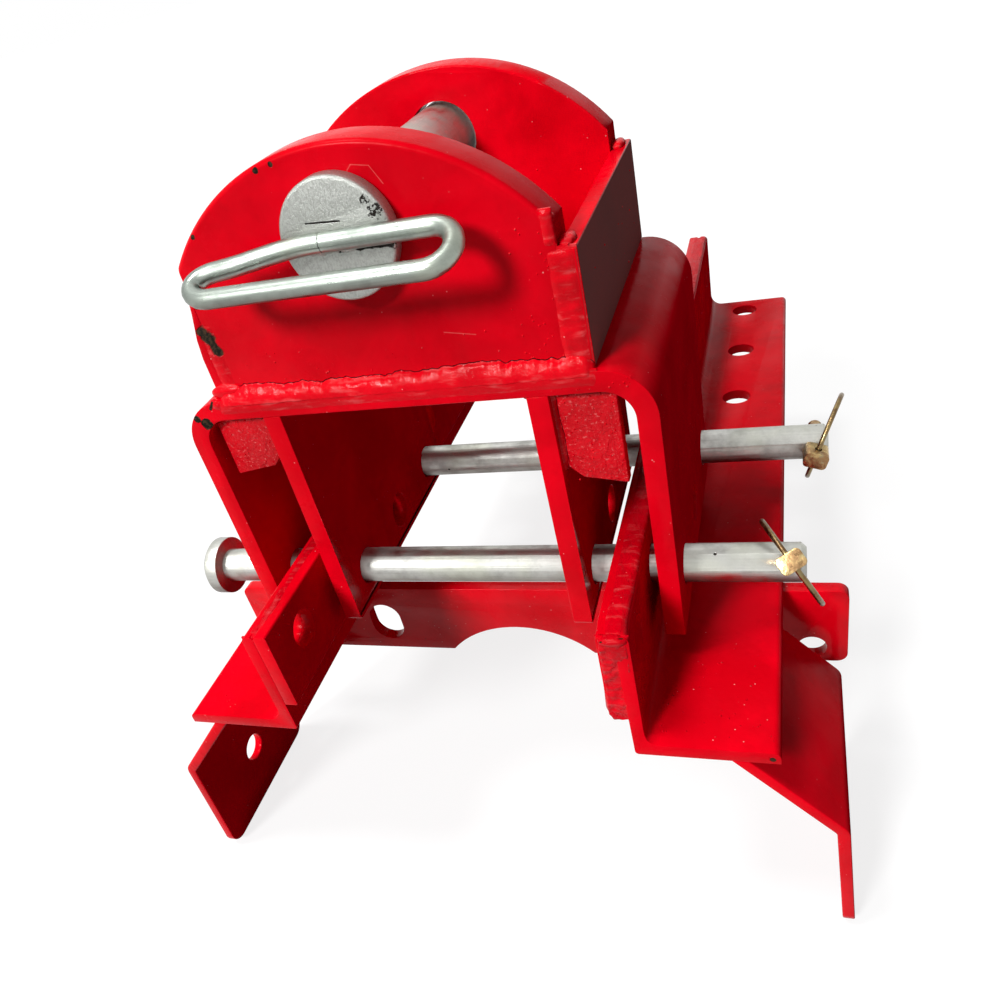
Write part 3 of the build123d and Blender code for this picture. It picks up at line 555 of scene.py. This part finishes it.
# The right side plate's outer face carries the dark brown-grey painted reflection and shade
COATS = {"tabs_left": enamel_rough, "tabs_right": enamel_rough, "side_plate_right": enamel_dark_reflection,
         "cross_plate": enamel_hazy}
for node, roll in ROLLS.items():
    dress(node, node + "_painted", COATS.get(node, enamel), roll)
for node in ("angle_left", "doubler_left"):
    dress(node, node + "_painted", enamel, 0.8)
for node in ("angle_right", "doubler_right"):
    finish_mesh(leaning(rolled(merged_copy(node), 0.8)), node + "_painted", enamel, node)
finish_mesh(corner_ground_off(rolled(merged_copy("side_plate_left"), 0.9)), "side_plate_left_painted", enamel,
            "side_plate_left")
print("plates dressed:", len(ROLLS) + 5)

# %% [markdown]
# ## Pins, disc and lynch pins
# The round parts already have their size. Rolling their rims catches the light the way a turned edge does.

# %% Dress the metal parts
for node, name, material, roll in (
    ("cross_pin_front", "cross_pin_front_plated", zinc_across, 0.6),
    ("cross_pin_rear", "cross_pin_rear_plated", zinc_across, 0.6),
    ("towing_pin", "towing_pin_plated", zinc_along, 0.6),
    ("pin_disc", "pin_disc_plated", zinc_disc, 0.5),
):
    dress(node, name, material, roll, 2)
for node in ("lynch_pin_front", "lynch_pin_rear"):
    dress(node, node + "_plated", gold_zinc, 0.8, 3)
for node in ("lynch_ring_front", "lynch_ring_rear"):
    finish_mesh(merged_copy(node), node + "_plated", gold_wire, node, angle=60)

# %% [markdown]
# ## Weld beads by Geometry Nodes
# A weld bead is a row of frozen puddles, each lapping over the last. That is a rule, so a node tree makes it:
# walk along a path, drop a flattened ball at every step, turn it to the path, and vary its size a little. The
# balls are then fused by a fine voxel remesh so that the bead is one closed skin with ripples.

# %% Build the bead tree


def empty_tree(name, source, floats, result):
    """A Geometry Nodes tree with named inputs and nothing in it yet, and its two end nodes."""
    tree = bpy.data.node_groups.new(name, "GeometryNodeTree")
    face = tree.interface
    face.new_socket(source, in_out="INPUT", socket_type="NodeSocketGeometry")
    for label, value in floats:
        face.new_socket(label, in_out="INPUT", socket_type="NodeSocketFloat").default_value = value
    face.new_socket("Seed", in_out="INPUT", socket_type="NodeSocketInt")
    face.new_socket("Paint", in_out="INPUT", socket_type="NodeSocketMaterial")
    face.new_socket(result, in_out="OUTPUT", socket_type="NodeSocketGeometry")
    return tree, tree.nodes.new("NodeGroupInput"), tree.nodes.new("NodeGroupOutput")


def number_sockets(sockets):
    """Only the sockets that hold a plain number, out of the many of a Random Value node."""
    return [socket for socket in sockets if socket.type == "VALUE"]


def end_tree(tree, start, end, instances):
    """Makes the instances real, paints them and sends them out."""
    real = tree.nodes.new("GeometryNodeRealizeInstances")
    paint = tree.nodes.new("GeometryNodeSetMaterial")
    tree.links.new(instances, real.inputs["Geometry"])
    tree.links.new(real.outputs["Geometry"], paint.inputs["Geometry"])
    tree.links.new(start.outputs["Paint"], paint.inputs["Material"])
    tree.links.new(paint.outputs["Geometry"], end.inputs[0])


PUDDLE_OVERLAP = 1.15


def bead_tree():
    """Geometry Nodes: a path becomes a row of overlapping puddles."""
    tree, start, end = empty_tree("weld_bead", "Path", (
        ("Ripple pitch", 0.0018), ("Bead radius", 0.004), ("Unevenness", 0.12)), "Bead")
    new, link = tree.nodes.new, tree.links.new
    to_curve = new("GeometryNodeMeshToCurve")
    steps = new("GeometryNodeResampleCurve")
    steps.mode = "LENGTH"
    ball = new("GeometryNodeMeshIcoSphere")
    ball.inputs["Radius"].default_value = 1.0
    ball.inputs["Subdivisions"].default_value = 3
    tangent = new("GeometryNodeInputTangent")
    turn = new("FunctionNodeAlignRotationToVector")
    turn.axis = "Z"
    vary = new("FunctionNodeRandomValue")
    vary.data_type = "FLOAT"
    low, high, width, length = (new("ShaderNodeMath") for _ in range(4))
    low.operation, high.operation = "SUBTRACT", "ADD"
    width.operation = length.operation = "MULTIPLY"
    low.inputs[0].default_value = high.inputs[0].default_value = 1.0
    length.inputs[1].default_value = PUDDLE_OVERLAP
    size = new("ShaderNodeCombineXYZ")
    drop = new("GeometryNodeInstanceOnPoints")
    link(start.outputs["Path"], to_curve.inputs["Mesh"])
    link(to_curve.outputs["Curve"], steps.inputs["Curve"])
    link(start.outputs["Ripple pitch"], steps.inputs["Length"])
    link(tangent.outputs["Tangent"], turn.inputs["Vector"])
    least, most = number_sockets(vary.inputs)[:2]
    for step, socket in ((low, least), (high, most)):
        link(start.outputs["Unevenness"], step.inputs[1])
        link(step.outputs[0], socket)
    link(start.outputs["Seed"], vary.inputs["Seed"])
    link(number_sockets(vary.outputs)[0], width.inputs[0])
    link(start.outputs["Bead radius"], width.inputs[1])
    link(start.outputs["Ripple pitch"], length.inputs[0])
    for source, axis in ((width, "X"), (width, "Y"), (length, "Z")):
        link(source.outputs[0], size.inputs[axis])
    link(steps.outputs["Curve"], drop.inputs["Points"])
    link(ball.outputs["Mesh"], drop.inputs["Instance"])
    link(turn.outputs["Rotation"], drop.inputs["Rotation"])
    link(size.outputs["Vector"], drop.inputs["Scale"])
    end_tree(tree, start, end, drop.outputs["Instances"])
    return tree


BEAD = bead_tree()


def bead_path(points, step=3.0, wander=0.25, seed=1):
    """A slightly wandering poly-line through points given in millimetres."""
    dice = random.Random(seed)
    mesh = bpy.data.meshes.new("bead_path")
    spots = []
    for a, b in zip(points, points[1:]):
        a, b = Vector(a), Vector(b)
        count = max(2, int((b - a).length / step))
        spots += [a.lerp(b, i / count) for i in range(count)]
    spots.append(Vector(points[-1]))
    for spot in spots[1:-1]:
        spot += Vector([dice.uniform(-wander, wander) for _ in range(3)])
    mesh.from_pydata([tuple(s * MM) for s in spots], [(i, i + 1) for i in range(len(spots) - 1)], [])
    return mesh


def grown(mesh, tree, values):
    """The plain mesh that a node tree makes of a starting mesh, with its inputs given by name."""
    holder = bpy.data.objects.new("holder", mesh)
    bpy.context.scene.collection.objects.link(holder)
    nodes = holder.modifiers.new("grow", "NODES")
    nodes.node_group = tree
    sockets = {s.name: s.identifier for s in tree.interface.items_tree if s.in_out == "INPUT"}
    for label, value in values.items():
        nodes[sockets[label]] = value
    graph = bpy.context.evaluated_depsgraph_get()
    made = bpy.data.meshes.new_from_object(holder.evaluated_get(graph))
    bpy.data.objects.remove(holder)
    return made


def bead_mesh(points, radius, pitch=1.9, uneven=0.12, wander=0.25, seed=1):
    """One bead as a plain mesh of overlapping puddles."""
    return grown(bead_path(points, seed=seed, wander=wander), BEAD, {
        "Ripple pitch": pitch * MM, "Bead radius": radius * MM, "Unevenness": uneven, "Seed": seed,
        "Paint": enamel_weld})


def weld_piece(name, runs, body, node=None, material=None, voxel=0.6):
    """Several bead runs joined, fused by a voxel remesh and given to one body."""
    joined = bmesh.new()
    for number, (points, radius, *more) in enumerate(runs):
        settings = more[0] if more else {}
        joined.from_mesh(bead_mesh(points, radius, seed=17 * number + len(name), **settings))
    raw = bpy.data.meshes.new(name)
    joined.to_mesh(raw)
    joined.free()
    fused = baked(raw, ("REMESH", dict(mode="VOXEL", voxel_size=voxel * MM)),
                  ("SMOOTH", dict(factor=0.5, iterations=2)))
    piece = finish_mesh(fused, name, material or enamel_weld, node, body, angle=80)
    print(name, "faces:", len(fused.polygons))
    return piece


# %% [markdown]
# ## Smeared welds and spatter
# The welds in plain sight were run hot and sprayed over, so they look like pressed clay: a broad band with a
# ragged upper toe, long lumps and a split in the paint along the toe. A band is a fillet section carried along
# the joint while noise moves its two toes. A patch is a low mound on a plate, whose border sinks into it.
# Spatter is a rule again: small balls on scattered points, each with a random size.

# %% Makers for bands, patches and spatter


def swell(spot, seed, grain=(0.2, 1, 1)):
    """Height of a weld's skin at a point in millimetres, from about -1 to 1. A small grain makes long lumps."""
    spot = Vector((spot[0] * grain[0] + seed * 7.3, spot[1] * grain[1] + seed * 1.9, spot[2] * grain[2]))
    return 0.9 * noise.noise(spot / 8) + 0.6 * noise.noise(spot / 2.7) + 0.3 * noise.noise(spot / 1.2)


def closed_rings(shape, rings, marked=()):
    """Joins equal rings of points into a closed tube with flat ends. Marked strips take the second material."""
    rows = [[shape.verts.new(point * MM) for point in ring] for ring in rings]
    size = len(rows[0])
    for row, ahead in zip(rows, rows[1:]):
        for k in range(size):
            face = shape.faces.new((row[k], row[(k + 1) % size], ahead[(k + 1) % size], ahead[k]))
            face.material_index = 1 if k in marked else 0
    shape.faces.new(rows[0][::-1])
    shape.faces.new(rows[-1])


BAND_STEP, BAND_BOW = 0.9, 0.55


def add_band(shape, start, end, wall, shelf, climb, reach, seed, ragged=0.35, split=0.0, relief=0.55):
    """A fillet weld from start to end that climbs the wall and covers the shelf. Its section is bowed out
    between a flat and a quarter round, and a split above 0 leaves a dark strip along the upper toe."""
    start, end, wall, shelf = (Vector(v) for v in (start, end, wall, shelf))
    steps = int((end - start).length / BAND_STEP)
    rings = []
    for i in range(steps + 1):
        foot = start.lerp(end, i / steps)
        ends = min(1.0, 0.45 + min((foot - start).length, (end - foot).length) / 7)
        shift = Vector((seed * 5.1, 0, 0))
        up = climb * ends * (1 + ragged * (noise.noise(foot / 11 + shift) + 0.5 * noise.noise(foot / 2.6 + shift)))
        out = reach * ends * (1 + 0.5 * ragged * noise.noise(foot / 7 - shift))
        ring = [foot - wall - shelf, foot + wall * (up + split) - shelf * 0.8,
                foot + wall * (up + split) + shelf * 0.07, foot + wall * up + shelf * 0.12]
        for k in range(1, 9):
            t = k / 9
            high = (1 - t) * (1 - BAND_BOW) + math.cos(t * math.pi / 2) * BAND_BOW
            far = t * (1 - BAND_BOW) + math.sin(t * math.pi / 2) * BAND_BOW
            spot = foot + wall * (up * high) + shelf * (out * far)
            ring.append(spot + (wall * far + shelf * high) * (relief * ends * swell(spot, seed)))
        ring.append(foot + shelf * out - wall * 0.8)
        rings.append(ring)
    closed_rings(shape, rings, (2,) if split else ())


def add_patch(shape, corner, across, along, out, width, height, thick, seed, edge=4.0, step=1.1, place=None,
              grain=(0.2, 1, 1)):
    """A low ragged mound on a plate. Place may move each of its points."""
    corner, across, along, out = (Vector(v) for v in (corner, across, along, out))
    wide, tall = max(3, int(width / step)), max(3, int(height / step))
    rings = []
    for j in range(tall + 1):
        ring = []
        for i in range(wide + 1):
            u, v = width * i / wide, height * j / tall
            spot = corner + across * u + along * v
            rim = share(min(u, width - u), 0, min(edge, width / 2))
            rim *= share(min(v, height - v), 0, min(edge, height / 2))
            ring.append(spot + out * (thick * (rim * (1.1 + 0.7 * swell(spot, seed, grain)) - 0.3)))
        ring += [corner + across * width + along * (height * j / tall) - out * 1.2,
                 corner + along * (height * j / tall) - out * 1.2]
        rings.append([place(point) for point in ring] if place else ring)
    closed_rings(shape, rings)


def add_lump(shape, centre, size, seed):
    """A rounded lump of weld."""
    made = bmesh.ops.create_icosphere(shape, subdivisions=4, radius=1.0)
    centre, size = Vector(centre), Vector(size)
    for vert in made["verts"]:
        spot = centre + Vector((vert.co.x * size.x, vert.co.y * size.y, vert.co.z * size.z))
        vert.co = (spot + vert.co.normalized() * (0.45 * swell(spot, seed))) * MM


def spatter_tree():
    """Geometry Nodes: every point becomes a small ball of random size."""
    tree, start, end = empty_tree("weld_spatter", "Points", (
        ("Smallest", 0.00015), ("Largest", 0.00055)), "Spatter")
    new, link = tree.nodes.new, tree.links.new
    points = new("GeometryNodeMeshToPoints")
    ball = new("GeometryNodeMeshIcoSphere")
    ball.inputs["Radius"].default_value = 1.0
    ball.inputs["Subdivisions"].default_value = 2
    vary = new("FunctionNodeRandomValue")
    vary.data_type = "FLOAT"
    drop = new("GeometryNodeInstanceOnPoints")
    link(start.outputs["Points"], points.inputs["Mesh"])
    for label, socket in zip(("Smallest", "Largest"), number_sockets(vary.inputs)):
        link(start.outputs[label], socket)
    link(start.outputs["Seed"], vary.inputs["Seed"])
    link(points.outputs["Points"], drop.inputs["Points"])
    link(ball.outputs["Mesh"], drop.inputs["Instance"])
    link(number_sockets(vary.outputs)[0], drop.inputs["Scale"])
    end_tree(tree, start, end, drop.outputs["Instances"])
    return tree


SPATTER = spatter_tree()


CROWDING = 1.6


def spatter_mesh(areas, seed):
    """Balls scattered over flat areas, each given as corner, two sides and a count, in millimetres.
    Crowding above 1 draws the balls to the start of the second side."""
    dice = random.Random(seed)
    spots = []
    for corner, side, other, count in areas:
        for _ in range(count):
            spot = Vector(corner) + Vector(side) * dice.random() + Vector(other) * dice.random() ** CROWDING
            spots.append(tuple(spot * MM))
    mesh = bpy.data.meshes.new("spatter_points")
    mesh.from_pydata(spots, [], [])
    balls = grown(mesh, SPATTER, {"Seed": seed, "Paint": enamel_weld})
    balls.materials.clear()
    return balls


def welded(name, body, node, builders, material=None):
    """One piece of painted weld for a body, from functions that each add their share to a shape."""
    shape = bmesh.new()
    for build in builders:
        build(shape)
    bmesh.ops.recalc_face_normals(shape, faces=shape.faces)
    mesh = bpy.data.meshes.new(name)
    shape.to_mesh(mesh)
    shape.free()
    piece = finish_mesh(mesh, name, material or enamel_weld, node, body, angle=75)
    mesh.materials.append(crack_line)
    print(name, "faces:", len(mesh.polygons))
    return piece


# %% [markdown]
# ## The runs of weld
# On the real hitch the cheeks are welded to the saddle along their feet, the side plates to the cheeks up
# the corners, the inner plates under the web, and each flat bar to its angle iron along the top and the front.
# The paths follow those corners.

# %% Weld the head and the base frame
FRONT, REAR, LEFT, RIGHT, UP = (0, -1, 0), (0, 1, 0), (-1, 0, 0), (1, 0, 0), (0, 0, 1)


def clevis_bands(shape):
    """The cheeks' feet, the two front corners, the shoulders and the notches behind them."""
    add_band(shape, (-98.5, -349, 172.2), (91, -349, 172.2), UP, FRONT, 7.4, 4.2, 3, 0.30, 0.5, 0.45)
    add_patch(shape, (-100, -352, 165.5), RIGHT, UP, FRONT, 192, 8.5, 0.55, 16, 3.0)
    add_band(shape, (-90, -329, 173), (82, -329, 173), UP, REAR, 4.2, 4.4, 4)
    add_band(shape, (-90, -212, 173), (82, -212, 173), UP, FRONT, 4.2, 4.4, 5)
    add_patch(shape, (77.5, -349, 173), RIGHT, UP, FRONT, 13.6, 53, 1.0, 6)
    add_patch(shape, (-95.2, -349, 173), RIGHT, UP, FRONT, 10.0, 40, 0.6, 7)
    add_lump(shape, (-92.0, -349.3, 177.0), (9.5, 1.7, 4.4), 15)
    add_lump(shape, (-100.5, -350.5, 171.5), (4.5, 1.9, 3.4), 17)
    add_patch(shape, (78, -349, 226), RIGHT, UP, FRONT, 5.5, 15, 0.8, 8, 2.2, 0.8)
    add_lump(shape, (80.5, -345.5, 236.5), (3.0, 3.6, 2.4), 9)
    add_lump(shape, (86.0, -340.5, 225.2), (3.6, 8.0, 2.6), 10)
    add_lump(shape, (-92.5, -339.5, 225.0), (3.0, 7.0, 2.4), 11)
    add_lump(shape, (86.0, -202.0, 225.4), (3.4, 8.0, 2.6), 12)
    add_lump(shape, (-94.0, -202.0, 225.0), (3.4, 8.0, 2.4), 13)


def clevis_spatter(shape):
    shape.from_mesh(spatter_mesh([
        ((-95, -349, 180), (178, 0, 0), (0, 0, 16), 40), ((60, -349, 180), (28, 0, 0), (0, 0, 60), 45),
        ((91, -345, 176), (0, 140, 0), (0, 0, 40), 12), ((-85, -328.9, 176), (165, 0, 0), (0, 0, 20), 20),
        ((-85, -212, 178), (165, 0, 0), (0, 0, 60), 30)], 5))


welded("clevis_weld_bands", "head", "clevis_welds", (clevis_bands, clevis_spatter))
weld_piece("saddle_weld_beads", [
    ([(69.6, -340, 162.4), (69.6, -206, 162.4)], 3.2),
    ([(-77.6, -340, 162.4), (-77.6, -206, 162.4)], 3.2),
    ([(58.4, -346, 162.4), (58.4, -204, 162.4)], 3.2),
    ([(-66.4, -346, 162.4), (-66.4, -204, 162.4)], 3.2),
], "head", "saddle_welds")


def tab_bands(shape):
    """The thin runs between the tabs, the inner plates and the bend of the web."""
    for x, side, low in ((69, RIGHT, 122), (-77, LEFT, 136)):
        add_band(shape, (x, -347, 162), (x, -347, low), side, FRONT, 2.2, 1.8, 20, split=0.3)
        add_band(shape, (x, -347, 163), (x + 26 * side[0], -347, 163), (0, 0, -1), FRONT, 2.4, 1.8, 21, split=0.3)


def tab_spatter(shape):
    shape.from_mesh(spatter_mesh([((72, -347, 160), (24, 0, 0), (0, 0, -44), 60),
                                  ((-80, -347, 160), (-26, 0, 0), (0, 0, -28), 24),
                                  ((70, -352, 165), (36, 0, 0), (0, 0, 7), 24)], 6))


welded("tab_weld_bands", "head", None, (tab_bands, tab_spatter))


def arm_ridges(shape):
    """The ground ridge along the top of each arm, and the smear over the right arm's sawn end."""
    add_patch(shape, (86.6, -411, 69.5), RIGHT, REAR, UP, 11.5, 508, 1.15, 31, 2.2, 1.3, lean, (1, 0.16, 1))
    add_patch(shape, (-97.0, -411, 69.6), RIGHT, REAR, UP, 9.5, 508, 0.65, 32, 2.6, 1.3, None, (1, 0.16, 1))
    add_patch(shape, (83.8, -411.0, 18), RIGHT, UP, FRONT, 15.2, 52.0, 2.3, 33, 1.6, 0.7, lean, (0.5, 1, 0.7))
    add_patch(shape, (-98.8, -411.3, 20), RIGHT, UP, FRONT, 14.6, 49.5, 0.35, 34, 2.4, 0.9)
    add_lump(shape, (92.5, -404.4, 68.0), (7.0, 3.4, 2.8), 35)


def frame_spatter(shape):
    shape.from_mesh(spatter_mesh([((100, -405, 7), (60, 0, 0), (0, 60, 0), 50),
                                  ((99, -400, 10), (0, 60, 0), (0, 0, 50), 24),
                                  ((-160, -405, 7), (56, 0, 0), (0, 40, 0), 14)], 7))


welded("arm_weld_ridges", "base_frame", None, (arm_ridges, frame_spatter), enamel_ground)
weld_piece("frame_weld_beads", [
    ([(91.2, -386, 19.0), (91.2, 95, 19.0)], 2.8, dict(pitch=2.6)),
    ([(-91.2, -406, 19.0), (-91.2, 95, 19.0)], 2.8, dict(pitch=2.6)),
    ([(138.4, -408, -1.0), (138.4, -308, -1.0)], 3.0),
    ([(-138.4, -408, -1.0), (-138.4, -308, -1.0)], 3.0),
    ([(94, -283.4, -1.0), (160, -283.4, -1.0)], 3.0),
    ([(-94, -283.4, -1.0), (-160, -283.4, -1.0)], 3.0),
], "base_frame", "frame_welds", voxel=0.7)

# %% [markdown]
# ## The bent handle
# The handle is one length of rod bent into an oval, with its two cut ends meeting in the middle of the upper
# limb, where the weld holds it to the disc. A path of straights and half circles is swept by a round section.

# %% Bend the handle
handle_low, handle_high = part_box("pin_handle")
ROD, CUT_GAP = 8.5, 0.15
disc_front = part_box("pin_disc")[0].y / MM
limb_y, limb_z = disc_front - ROD / 2, 245.0
handle_x = (handle_low.x + handle_high.x) / 2 / MM
HANDLE_LEAN = math.radians(63)
outward = Vector((0, -math.sin(HANDLE_LEAN), -math.cos(HANDLE_LEAN)))
LOOP_LENGTH, LOOP_WIDTH, LOOP_DROP = 118.0, 22.0, 7.5
half = (LOOP_LENGTH - LOOP_WIDTH) / 2


def handle_points():
    """Centre line of the rod, from one cut end round the oval to the other. Its left end is bent tighter."""
    radius = LOOP_WIDTH / 2
    bend = [(math.sin(math.pi * i / 16), math.cos(math.pi * i / 16)) for i in range(1, 17)]
    flat = [(CUT_GAP, 0.0)] + [(half * i / 8, 0) for i in range(1, 9)]
    flat += [(half + s * radius, radius - c * radius) for s, c in bend]
    flat += [(half - 2 * half * i / 14, LOOP_WIDTH) for i in range(1, 15)]
    flat += [(-half - s * radius, radius + c * radius) for s, c in bend]
    flat += [(-half + half * i / 8, 0) for i in range(1, 8)] + [(-CUT_GAP, 0.0)]
    flat = [(a, b + (LOOP_WIDTH - b) / LOOP_WIDTH * LOOP_DROP * share(-a, 6, 54)) for a, b in flat]
    origin = Vector((handle_x, limb_y, limb_z))
    return [origin + Vector((a, 0, 0)) + outward * b for a, b in flat]


def swept(points, radius, name, sides=24):
    """A round section carried along points given in millimetres, with capped ends."""
    curve = bpy.data.curves.new(name, "CURVE")
    curve.dimensions = "3D"
    curve.bevel_depth = radius * MM
    curve.bevel_resolution = sides // 4 - 1
    curve.use_fill_caps = True
    line = curve.splines.new("POLY")
    line.points.add(len(points) - 1)
    for spot, point in zip(points, line.points):
        point.co = (*(Vector(spot) * MM), 1)
    holder = bpy.data.objects.new(name, curve)
    bpy.context.scene.collection.objects.link(holder)
    graph = bpy.context.evaluated_depsgraph_get()
    mesh = bpy.data.meshes.new_from_object(holder.evaluated_get(graph))
    bpy.data.objects.remove(holder)
    return mesh


finish_mesh(swept(handle_points(), ROD / 2, "handle_rod"), "handle_rod_plated", zinc_rod, "pin_handle",
            angle=50)
weld_piece("handle_weld_bead", [
    ([(handle_x - 12, disc_front - 1.2, limb_z - 3.2), (handle_x + 12, disc_front - 1.2, limb_z - 3.4)], 2.3,
     dict(uneven=0.25, pitch=1.6)),
    ([(handle_x - 3, disc_front - 4.5, limb_z - 2.6), (handle_x + 3, disc_front - 4.5, limb_z - 2.6)], 2.0,
     dict(uneven=0.25, pitch=1.6)),
], "towing_pin_set", "handle_weld", zinc_disc, 0.4)

# %% [markdown]
# ## Floor, light and sky
# Two suns stand for the bright sky at the front left and overhead, and a faint one fills from behind, so that
# right faces fall into maroon, deepened by the painted shade in the enamel. Suns light the whole floor evenly,
# which leaves no horizon line. The floor and the world are white to the eye and to reflections, and dim as
# lamps. The floor keeps a pale shadow.

# %% Set the stage
SKY_AS_LAMP = 0.19
FLOOR_GLOW, FLOOR_REACH, FLOOR_GAP = 0.82, 60, 0.0006


def seen_rays(tree):
    """1 for rays from the camera, a reflection or glass, 0 for rays that only light the object."""
    rays = tree.nodes.new("ShaderNodeLightPath")
    seen = rays.outputs["Is Camera Ray"]
    for label in ("Is Glossy Ray", "Is Transmission Ray"):
        either = tree.nodes.new("ShaderNodeMath")
        either.operation = "MAXIMUM"
        tree.links.new(seen, either.inputs[0])
        tree.links.new(rays.outputs[label], either.inputs[1])
        seen = either.outputs[0]
    return seen


def set_stage():
    """Floor, suns and world."""
    low = cad_low.z - FLOOR_GAP
    mesh = bpy.data.meshes.new("floor")
    corners = [(x * FLOOR_REACH, y * FLOOR_REACH, low) for x, y in ((-1, -1), (1, -1), (1, 1), (-1, 1))]
    mesh.from_pydata(corners, [], [(0, 1, 2, 3)])
    floor = bpy.data.objects.new("floor", mesh)
    bpy.context.scene.collection.objects.link(floor)
    f = Finish("pale_floor")
    f.shader.inputs["Base Color"].default_value = (0.20, 0.20, 0.20, 1)
    f.shader.inputs["Roughness"].default_value = 0.9
    f.shader.inputs["Specular IOR Level"].default_value = 0.0
    glow = f.add("ShaderNodeEmission")
    glow.inputs["Color"].default_value = (1, 1, 1, 1)
    f.join(f.math("MULTIPLY", seen_rays(f.tree), FLOOR_GLOW), glow.inputs["Strength"])
    total = f.add("ShaderNodeAddShader")
    f.join(f.shader.outputs[0], total.inputs[0])
    f.join(glow.outputs[0], total.inputs[1])
    f.join(total.outputs[0], f.tree.nodes["Material Output"].inputs["Surface"])
    mesh.materials.append(f.material)
    for name, place, strength, width in (
        ("front_left_sun", (-0.38, -0.86, 0.68), 3.0, 14),
        ("top_left_sun", (-0.34, -0.12, 1.0), 1.8, 14),
        ("back_sun", (-0.3, 0.7, 0.9), 0.3, 40),
    ):
        lamp = bpy.data.lights.new(name, "SUN")
        lamp.energy = strength
        lamp.angle = math.radians(width)
        holder = bpy.data.objects.new(name, lamp)
        bpy.context.scene.collection.objects.link(holder)
        holder.location = place
        holder.rotation_euler = Vector(place).to_track_quat("Z", "Y").to_euler()
    world = bpy.data.worlds.new("pale_world")
    bpy.context.scene.world = world
    world.use_nodes = True
    tree = world.node_tree
    back = tree.nodes["Background"]
    back.inputs["Color"].default_value = (1, 1, 1, 1)
    level = tree.nodes.new("ShaderNodeMapRange")
    level.inputs["To Min"].default_value = SKY_AS_LAMP
    level.inputs["To Max"].default_value = 1.0
    tree.links.new(seen_rays(tree), level.inputs["Value"])
    tree.links.new(level.outputs["Result"], back.inputs["Strength"])


set_stage()
bpy.context.scene.view_settings.view_transform = "Standard"
